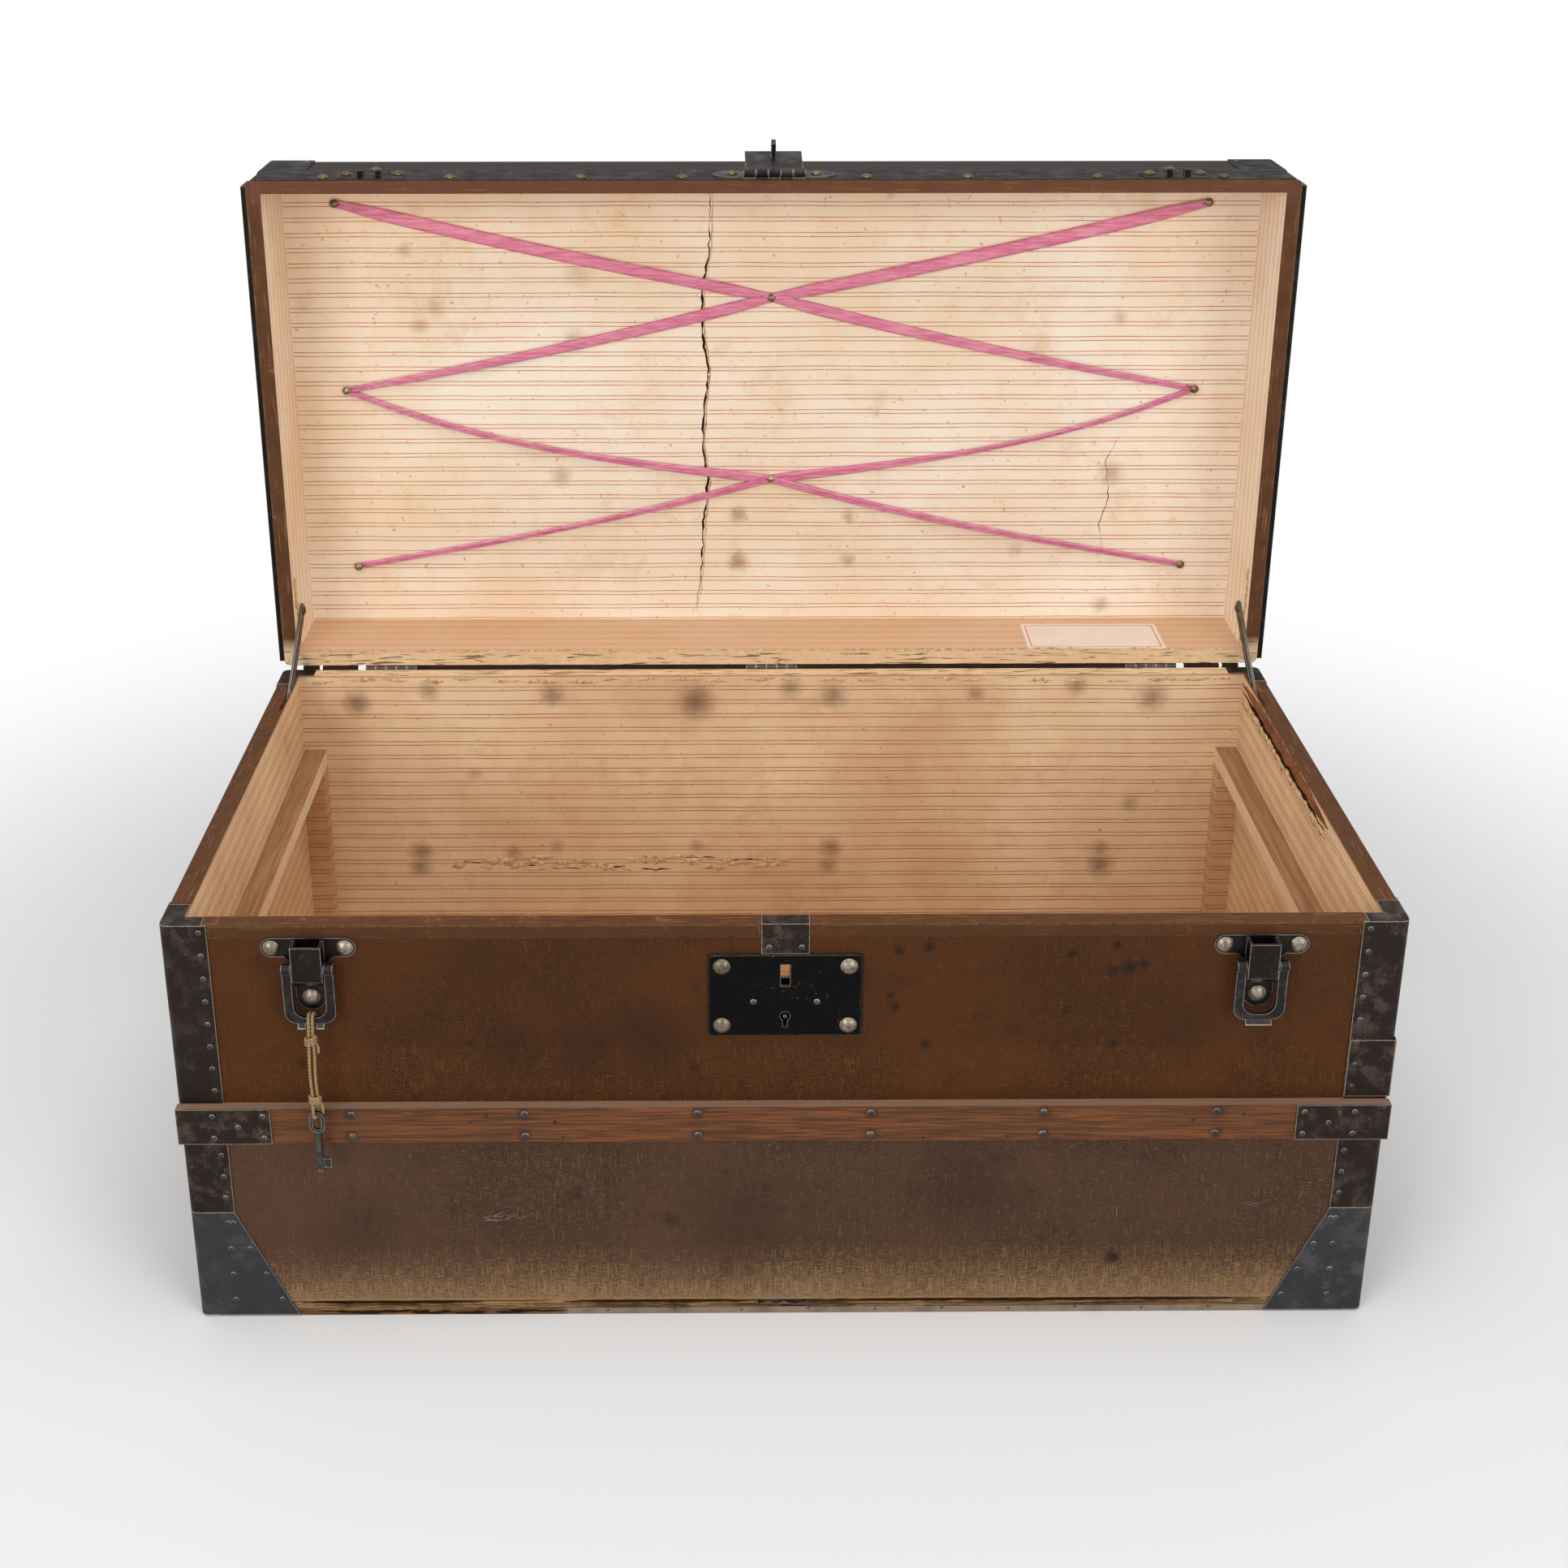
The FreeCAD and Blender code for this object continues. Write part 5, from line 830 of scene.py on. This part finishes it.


# The cracks are dark plates: a painted shade inside the board's split
plates = [], []
for line, wide in ((CRACK, 0.75), (FAINT_CRACK, 0.28)):
    ragged(plates, crack_points(line, 4, 0.9), RIGHT, -BACK, wide, 0.12, 0.85)
piece("lid_paper_crack", *plates, "lid", "lining_paper", gap, False)
plates = [], []
ragged(plates, [spot + RIGHT * LIP_OFF * MM for spot in crack_points(CRACK, 5, 0.5)], RIGHT, -BACK, 0.7, 0.5)
piece("lid_crack_lip", *plates, "lid", "lining_paper", torn)

# %% [markdown]
# Along the lid's lower rim the tape is gone and the bare board shows, with paper torn back from it. Flaps of paper lie
# on the lid's back wall just inside the rim. The ends of the lid have the same torn paper near the stays.

# %% Torn paper at the lid's rim
LID_WALL_Z, LID_RIM_Y, LID_END_X = 320.6, 202.0, 388.4
plates = [], []
for i in range(26):
    x0 = -382 + i * 29.4 + random.uniform(-3, 3)
    start = at(x0, LID_RIM_Y + random.uniform(5.2, 7.5), LID_WALL_Z)
    end = start + RIGHT * random.uniform(22, 40) * MM
    tear(plates, start, end, 9, BACK * 0.8, BACK, UP, (1.0, 2.6), (0.3, 0.9), 0.7)
for side in (-1, 1):
    for i in range(7):
        start = at(side * LID_END_X, LID_RIM_Y + random.uniform(8.5, 16), 322 + 9 * i)
        end = start + UP * random.uniform(9, 18) * MM
        tear(plates, start, end, 6, BACK * 1.5, BACK, -side * RIGHT, (1.5, 3.5), 0.7, 0.8)
piece("lid_rim_torn_paper", *plates, "lid", "lining_paper", torn)

# %% [markdown]
# On the body's back wall a long scrape has torn the paper to its white core, and small tears follow the rim. Near the
# right end the lining has come away from the rim, so a gap opens above it, drawn as a dark plate of painted shade, and
# the bare board shows.

# %% Torn paper in the body
WALL_Y, END_X = 188.2, 385.2
SCRAPE_X0, SCRAPE_X1, SCRAPE_Z, TEAR_Z = -262, 8, 134, 288
plates = [], []
for i in range(30):
    x0 = SCRAPE_X0 + (SCRAPE_X1 - SCRAPE_X0) * i / 29 + random.uniform(-8, 8)
    start = at(x0, WALL_Y, SCRAPE_Z + random.uniform(-5, 6))
    end = start + at(random.uniform(10, 30), 0, random.uniform(-3, 3))
    tear(plates, start, end, 6, UP * 0.8, UP, -BACK, (0.8, 2.8), (0.3, 0.8), 0.8)
for i in range(26):
    start = at(-378 + i * 29.6 + random.uniform(-4, 4), WALL_Y, 303 + random.uniform(-1.5, 1.5))
    end = start + RIGHT * random.uniform(14, 30) * MM
    tear(plates, start, end, 6, UP * 0.8, UP, -BACK, (0.6, 1.6), 0.4, 0.8)
for i in range(11):
    start = at(END_X, 182 - 22 * i, TEAR_Z + 0.35 * i)
    tear(plates, start, start - BACK * 27 * MM, 7, UP, UP, -RIGHT, 2.2, 1.8, 0.8)
piece("body_torn_paper", *plates, "trunk_body", "lining_paper", torn)
# Dark plates: the gap above the loose lining at the right end, a painted shade, and thin dark lines along the scrape
plates = [], []
tear(plates, at(END_X, 184, TEAR_Z + 5), at(END_X, -56, TEAR_Z + 7), 40, UP, UP, -RIGHT, 2.6, 0.3, 0.6)
for i in range(7):
    start = at(SCRAPE_X0 + 38 * i, WALL_Y, SCRAPE_Z + random.uniform(-6, 7))
    tear(plates, start, start + RIGHT * 26 * MM, 6, UP * 0.8, UP, -BACK, 0.5, 0.1, 0.9)
piece("body_paper_gap", *plates, "trunk_body", "lining_paper", gap, False)
plates = [], []
tear(plates, at(END_X, 186, 299.5), at(END_X, -64, 300.5), 44, UP * 0.5, UP, -RIGHT, 6.6, 0.2, 0.1)
piece("bare_end_board", *plates, "trunk_body", "pine_board", reddish_pine, False)

# %% [markdown]
# The rim tape folds about 10 mm down over the outside. It is a long plate with an almost straight edge, from one corner
# band to the next, with a break for the lock's strap.

# %% Rim tape on the outside
TAPE_HALF, TAPE_T, TAPE_Z = 4.7, 0.4, 302.3
END_FACE_X, BAND_X, BAND_Y, STRAP_X = 399.0, 369.3, 169.3, 15.8
STRAIGHT = Vector()
tape_runs = [(at(x0, FRONT_FACE_Y, TAPE_Z), at(x1, FRONT_FACE_Y, TAPE_Z), -BACK)
             for x0, x1 in ((-BAND_X, -STRAP_X), (STRAP_X, BAND_X))]
tape_runs += [(at(side * END_FACE_X, -BAND_Y, TAPE_Z), at(side * END_FACE_X, BAND_Y, TAPE_Z), side * RIGHT)
              for side in (-1, 1)]
plates = [], []
for start, end, out in tape_runs:
    tear(plates, start, end, 70, STRAIGHT, UP, out, TAPE_HALF, TAPE_T, 0.05, 1.0)
piece("outer_rim_tape", *plates, "trunk_body", "rim_tape", tape)

# %% [markdown]
# Two knocks have pulled pale fibres out of the canvas: a small burst of lint low on the left and a short scratch low on
# the right.

# %% Pale fibres on the front
LINT_MM = 3
lint, tree, place = blank("pale_linen_lint")
fluff = add(tree, "TexNoise", {"Vector": place, "Scale": 1 / (LINT_MM * MM), "Detail": 4.0})
colour = add(tree, "Mix", {0: fluff, 6: "#54463f", 7: "#92867e"}, 2, data_type="RGBA")
surface(tree, {"Base Color": colour, "Roughness": 0.95})
plates = [], []
for x0, z0, count, reach in ((-193, 80, 11, 13), (312, 88, 4, 12)):
    for i in range(count):
        start = at(x0 + random.uniform(-reach, reach), FRONT_FACE_Y, z0 + random.uniform(-4, 4))
        end = start + at(random.uniform(4, 12), 0, random.uniform(-1, 4))
        tear(plates, start, end, 7, UP * 0.5, UP, -BACK, (0.12, 0.32), 0.15, 0.8)
piece("canvas_lint", *plates, "trunk_body", "brown_canvas", lint)

# %% [markdown]
# ## Blank label
# A small paper label is pasted inside the lid. It stays blank, with a thin printed border: a frame of four strips a
# hair above the sheet.

# %% Material: label paper and red ink
YELLOWING_MM, INK_WEAR_MM = 16, 5
label_paper, tree, place = blank("pasted_label_paper")
pulp = add(tree, "TexNoise", {"Vector": place, "Scale": 1 / (YELLOWING_MM * MM), "Detail": 6.0})
colour = add(tree, "Mix", {0: pulp, 6: "#f2e6dc", 7: "#dccbb8"}, 2, data_type="RGBA")
surface(tree, {"Base Color": colour, "Roughness": 0.7}, pulp, 0.3, 0.5)
red_ink, tree, place = blank("faded_red_ink")
wear = add(tree, "TexNoise", {"Vector": place, "Scale": 1 / (INK_WEAR_MM * MM), "Detail": 5.0})
colour = add(tree, "Mix", {0: wear, 6: "#c0604c", 7: "#dba791"}, 2, data_type="RGBA")
surface(tree, {"Base Color": colour, "Roughness": 0.7})
print("finishes for the label")

# %% Label
LABEL_X, LABEL_Y, LABEL_Z, BORDER_Z = (212.0, 326.0), (210.0, 262.0), (320.58, 320.78), (320.76, 320.82)
BORDER_INSET, BORDER_W = 3.0, 1.0


def flat_plate(plates, x_ends, y_ends, z_ends):
    """Add a closed box-shaped sheet, in mm."""
    verts, faces = plates
    base = len(verts)
    (x0, x1), (y0, y1) = x_ends, y_ends
    verts += [at(px, py, pz) for pz in z_ends for px, py in ((x0, y0), (x1, y0), (x1, y1), (x0, y1))]
    faces += [tuple(base + k for k in face) for face in ((3, 2, 1, 0), (4, 5, 6, 7), (0, 1, 5, 4), (1, 2, 6, 5),
                                                         (2, 3, 7, 6), (3, 0, 4, 7))]


plates = [], []
flat_plate(plates, LABEL_X, LABEL_Y, LABEL_Z)
piece("blank_label", *plates, "lid", "lining_paper", label_paper, False)
plates = [], []
in_x = (LABEL_X[0] + BORDER_INSET, LABEL_X[1] - BORDER_INSET)
in_y = (LABEL_Y[0] + BORDER_INSET, LABEL_Y[1] - BORDER_INSET)
for edge_y in (in_y[0], in_y[1] - BORDER_W):
    flat_plate(plates, in_x, (edge_y, edge_y + BORDER_W), BORDER_Z)
for edge_x in (in_x[0], in_x[1] - BORDER_W):
    flat_plate(plates, (edge_x, edge_x + BORDER_W), (in_y[0] + BORDER_W, in_y[1] - BORDER_W), BORDER_Z)
piece("label_border", *plates, "lid", "lining_paper", red_ink, False)

# %% [markdown]
# The right corner band is made of two lengths. The lower one laps over the upper.

# %% Lapped band
LAP_Z, LAP_T, LAP_SHY, STEEL_X, STEEL_Y = (176.0, 219.5), 0.35, 0.4, 400.0, 200.0
plates = [], []
flat_plate(plates, (BAND_X + LAP_SHY, STEEL_X + LAP_T), (-STEEL_Y - LAP_T, -STEEL_Y), LAP_Z)
flat_plate(plates, (STEEL_X, STEEL_X + LAP_T), (-STEEL_Y, -BAND_Y - LAP_SHY), LAP_Z)
piece("lapped_band", *plates, "trunk_body", "trim_steel", steels["browned_rolled_steel"], False)

# %% [markdown]
# ## Canvas hinge strips
# Between the hinges a strip of dark linen is glued over the seam at the back. It keeps out dust and closes the gap when
# the lid is open. It is cloth that crosses a hinge, so it rides on neither body and keeps the shape it is built in.

# %% Material: dark linen tape
DYE_MM = 15
seam_cloth, tree, place = blank("dark_linen_tape")
weave = add(tree, "TexWave", {"Vector": place, "Scale": WAVE_SCALE, "Distortion": 2.0}, 1, bands_direction="X")
dye = add(tree, "TexNoise", {"Vector": place, "Scale": 1 / (DYE_MM * MM), "Detail": 5.0})
colour = add(tree, "Mix", {0: dye, 6: "#170f0a", 7: "#3a281c"}, 2, data_type="RGBA")
surface(tree, {"Base Color": colour, "Roughness": 0.9, "Specular IOR Level": 0.1}, weave, 0.5, 0.3)
print("linen threads", THREAD_MM, "mm")

# %% Linen over the back seam
SEAM_PROFILE = [(199.45, 296.0), (199.45, 301.0), (199.45, 306.5), (199.9, 308.8), (201.3, 310.3), (203.4, 310.6),
                (208.5, 310.6), (214.0, 310.6)]
BODY_ROWS, SEAM_COLUMNS, SEAM_T_MM = 4, 30, 0.5
# For each strip: its ends along the trunk, and how far it stands out to pass over a steel band
SEAM_STRIPS = {"left_corner": (-384.0, -370.6, 1.0), "left_outer": (-368.0, -339.0, 0.0), "left": (-293.0, -19.5, 0.0),
               "right": (19.5, 293.0, 0.0), "right_outer": (339.0, 368.0, 0.0), "right_corner": (370.6, 384.0, 1.0)}
rows = len(SEAM_PROFILE)
for side, (x0, x1, over) in SEAM_STRIPS.items():
    verts = [at(x0 + (x1 - x0) * i / SEAM_COLUMNS, py + (over if k < BODY_ROWS else 0), pz)
             for i in range(SEAM_COLUMNS + 1) for k, (py, pz) in enumerate(SEAM_PROFILE)]
    faces = [(i * rows + k, (i + 1) * rows + k, (i + 1) * rows + k + 1, i * rows + k + 1)
             for i in range(SEAM_COLUMNS) for k in range(rows - 1)]
    strip = piece(side + "_seam_canvas", verts, faces, None, "brown_canvas", seam_cloth)
    thicken(strip, SEAM_T_MM)
    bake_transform(strip)

# %% [markdown]
# ## Leather handles
# The end handles are stitched harness leather. Oil and hands have darkened it in patches.

# %% Material: harness leather
PORE_MM, OIL_MM = 1.8, 16
leather, tree, place = blank("harness_leather")
pores = add(tree, "TexVoronoi", {"Vector": place, "Scale": 1 / (PORE_MM * MM)})
oil = add(tree, "TexNoise", {"Vector": place, "Scale": 1 / (OIL_MM * MM), "Detail": 7.0, "Roughness": 0.7})
hide = add(tree, "Mix", {0: oil, 6: "#3c2216", 7: "#764a2c"}, 2, data_type="RGBA")
surface(tree, {"Base Color": hide, "Roughness": 0.5}, pores, 0.35, 0.3)
print("leather pores", PORE_MM, "mm")

# %% [markdown]
# Each handle is a thick strap of two layers of leather round a core, sewn along both edges, with its ends rolled round
# the pins of the mounts. The strap is a rounded section swept along a line that goes down from one pin, along the grip
# and up to the other. It is a little fuller in the middle, where the hand goes.

# %% The strap's line and its eyes
HANDLE_X, HANDLE_PIN_Z, HANDLE_HALF_SPAN, GRIP_Z = 413.0, 236.0, 66.0, 196.0
CORNER_R, CORNER_STEPS, GRIP_STEPS = 13.0, 8, 10
EYE_R, EYE_BORE, EYE_HALF, EYE_STEPS = 8.0, 3.4, 8.6, 28

strap_line = [(-HANDLE_HALF_SPAN, HANDLE_PIN_Z - 5.0 - 2.5 * i) for i in range(7)]
for i in range(CORNER_STEPS + 1):
    turn = math.pi / 2 * i / CORNER_STEPS
    strap_line.append((-HANDLE_HALF_SPAN + CORNER_R * (1 - math.cos(turn)), GRIP_Z + CORNER_R * (1 - math.sin(turn))))
grip_half = HANDLE_HALF_SPAN - CORNER_R
strap_line += [(-grip_half + grip_half * i / GRIP_STEPS, GRIP_Z) for i in range(1, GRIP_STEPS)]
strap_line += [(0.0, GRIP_Z)] + [(-y, z) for y, z in reversed(strap_line)]


def eye(side, end, verts, faces):
    """Add the rolled end of a strap, a thick ring round the mount's pin."""
    base = len(verts)
    for k in range(EYE_STEPS):
        turn = 2 * math.pi * k / EYE_STEPS
        for radius, y in ((EYE_R, -EYE_HALF), (EYE_R, EYE_HALF), (EYE_BORE, EYE_HALF), (EYE_BORE, -EYE_HALF)):
            verts.append(at(side * HANDLE_X + radius * math.cos(turn), end * HANDLE_HALF_SPAN + y,
                            HANDLE_PIN_Z + radius * math.sin(turn)))
    for k in range(EYE_STEPS):
        a, b = base + 4 * k, base + 4 * ((k + 1) % EYE_STEPS)
        faces += [(a + j, b + j, b + (j + 1) % 4, a + (j + 1) % 4) for j in range(4)]


print("strap's line has", len(strap_line), "points")

# %% Leather handles
STRAP_HALF_W, STRAP_HALF_T, SECTION, SQUARENESS = 9.0, 4.6, 16, 0.55
FULLER_W, FULLER_T, FULLER_SEAM = 0.8, 0.35, 0.3
STITCH_PITCH, STITCH_L, STITCH_INSET, FIRST_STITCH = 6.0, 4.0, 2.6, 8.0
STITCH_RADII = [radius * MM for radius in (0.25, 0.5, 0.5, 0.25)]
count = len(strap_line)
for side, name in ((1, "right_handle"), (-1, "left_handle")):
    verts, faces, threads, thread_faces = [], [], [], []
    run, next_stitch = 0.0, FIRST_STITCH
    for i, (y, z) in enumerate(strap_line):
        y0, z0 = strap_line[max(i - 1, 0)]
        y1, z1 = strap_line[min(i + 1, count - 1)]
        ahead = Vector((0, y1 - y0, z1 - z0)).normalized()
        wide = Vector((0, ahead.z, -ahead.y))
        fuller = math.sin(math.pi * i / (count - 1)) ** 2
        for k in range(SECTION):
            turn = 2 * math.pi * k / SECTION
            c, s = [math.copysign(abs(v) ** SQUARENESS, v) for v in (math.cos(turn), math.sin(turn))]
            verts.append((Vector((side * HANDLE_X, y, z)) + wide * c * (STRAP_HALF_W + FULLER_W * fuller)
                          + RIGHT * s * (STRAP_HALF_T + FULLER_T * fuller)) * MM)
        run += math.dist((y, z), (y0, z0))
        while run > next_stitch and i < count - 2:
            next_stitch += STITCH_PITCH
            for edge in (-1, 1):
                for face_side in (-1, 1):
                    out = face_side * (STRAP_HALF_T + FULLER_SEAM * fuller - 0.1)
                    middle = Vector((side * HANDLE_X + out, y, z)) + wide * edge * (STRAP_HALF_W - STITCH_INSET)
                    ends = [(middle + ahead * STITCH_L * t) * MM for t in (-0.5, -0.2, 0.2, 0.5)]
                    tube(ends, STITCH_RADII, threads, thread_faces, 6)
    for i in range(count - 1):
        for k in range(SECTION):
            a, b = i * SECTION + k, i * SECTION + (k + 1) % SECTION
            faces.append((a, a + SECTION, b + SECTION, b))
    faces.append(tuple(range(SECTION)))
    faces.append(tuple((count - 1) * SECTION + k for k in reversed(range(SECTION))))
    for end in (-1, 1):
        eye(side, end, verts, faces)
    strap = piece("leather_" + name, verts, faces, name, "handle_leather", leather)
    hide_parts(name)
    piece(name + "_stitching", threads, thread_faces, name, "handle_leather", jute)
print("handles sewn every", STITCH_PITCH, "mm")

# %% [markdown]
# ## Splintered bottom edge
# Below the canvas the front's bottom edge is raw: a dark strip of cloth, then pale wood that has splintered, with one
# piece broken away left of the middle.

# %% Splintered wood along the bottom
BROKEN_X = (-205, -150)
plates = [], []
for i in range(40):
    x0 = -318 + 16 * i + random.uniform(-5, 5)
    if BROKEN_X[0] < x0 < BROKEN_X[1]:
        continue
    start = at(x0, RUNNER_FRONT_Y, random.uniform(3.0, 8.5))
    end = start + RIGHT * random.uniform(18, 46) * MM
    tear(plates, start, end, 7, UP * 0.5, UP, -BACK, (0.5, 1.5), (0.2, 0.6), 0.8)
piece("bottom_splinters", *plates, "trunk_body", "pine_board", runner_pine, False)
plates = [], []
for x0, x1 in ((-330, -206), (-150, -14), (14, 330)):
    start, end = at(x0, RUNNER_FRONT_Y, 10.6), at(x1, RUNNER_FRONT_Y, 10.6)
    tear(plates, start, end, int((x1 - x0) / 6), UP * 0.25, UP, -BACK, 1.1, 0.5, 0.35)
start = at(-320, RUNNER_FRONT_Y, 2.7)
tear(plates, start, start + RIGHT * 172 * MM, 30, UP * 0.4, UP, -BACK, 1.5, 0.15, 0.5)
piece("bottom_dark_strip", *plates, "trunk_body", "brown_canvas", gap, False)

# %% [markdown]
# ## Floor, world and lamps
# The trunk stands on a plain pale floor in soft light. The floor keeps the shadow near the trunk, and further out it
# turns into the same white as the background, but only for rays that the camera, a reflection or glass sends.

# %% Floor
FLOOR_HALF, FLOOR_Z = 12.0, -0.0002
SHADOW_REACH, WHITE_FROM = 0.55, 1.3


def seen_rays(tree):
    """1 for rays from the camera, a reflection or glass, and 0 for the rest."""
    seen = add(tree, "LightPath", {}, "Is Camera Ray")
    for kind in ("Is Glossy Ray", "Is Transmission Ray"):
        seen = add(tree, "Math", {0: seen, 1: add(tree, "LightPath", {}, kind)}, operation="MAXIMUM")
    return seen


floor_paint, tree, place = blank("matt_white_floor")
away = add(tree, "VectorMath", {0: place}, "Value", operation="LENGTH")
far = add(tree, "MapRange", {"Value": away, "From Min": SHADOW_REACH, "From Max": WHITE_FROM},
          interpolation_type="SMOOTHSTEP")
white = add(tree, "Math", {0: far, 1: seen_rays(tree)}, operation="MULTIPLY")
matt = add(tree, "BsdfDiffuse", {"Color": "#f4f4f4"})
glow = add(tree, "Emission", {"Color": "#ffffff", "Strength": 1.0})
add(tree, "OutputMaterial", {"Surface": add(tree, "MixShader", {0: white, 1: matt, 2: glow})})
floor_mesh = bpy.data.meshes.new("floor")
floor_mesh.from_pydata([(sx * FLOOR_HALF, sy * FLOOR_HALF, FLOOR_Z) for sx, sy in ((-1, -1), (1, -1), (1, 1), (-1, 1))],
                       [], [(0, 1, 2, 3)])
floor_mesh.materials.append(floor_paint)
floor = bpy.data.objects.new("floor", floor_mesh)
bpy.context.scene.collection.objects.link(floor)
print("floor", 2 * FLOOR_HALF, "m wide")

# %% World and lamps
AIR_LIGHT = 0.42
world = bpy.data.worlds.new("studio")
bpy.context.scene.world = world
world.use_nodes = True
tree = world.node_tree
tree.nodes.clear()
level = add(tree, "MapRange", {"Value": seen_rays(tree), "To Min": AIR_LIGHT, "To Max": 1.0})
add(tree, "OutputWorld", {"Surface": add(tree, "Background", {"Color": "#ffffff", "Strength": level})})
# For each square lamp: its place, the point it looks at, its size in metres and its watts
SOFTBOXES = {"left_softbox": ((-1.5, -2.2, 1.35), (0, 0.1, 0.35), 1.3, 25),
             "right_softbox": ((1.6, -2.1, 1.3), (0, 0.1, 0.35), 1.3, 19),
             "top_softbox": ((0.0, -0.4, 2.6), (0, 0.1, 0.2), 1.6, 24)}
for name, (lamp_place, aim, size, watts) in SOFTBOXES.items():
    lamp = bpy.data.lights.new(name, "AREA")
    lamp.size, lamp.energy = size, watts
    holder = bpy.data.objects.new(name, lamp)
    holder.location = lamp_place
    holder.rotation_euler = (Vector(aim) - Vector(lamp_place)).to_track_quat("-Z", "Y").to_euler()
    bpy.context.scene.collection.objects.link(holder)
print(len(SOFTBOXES), "softboxes")
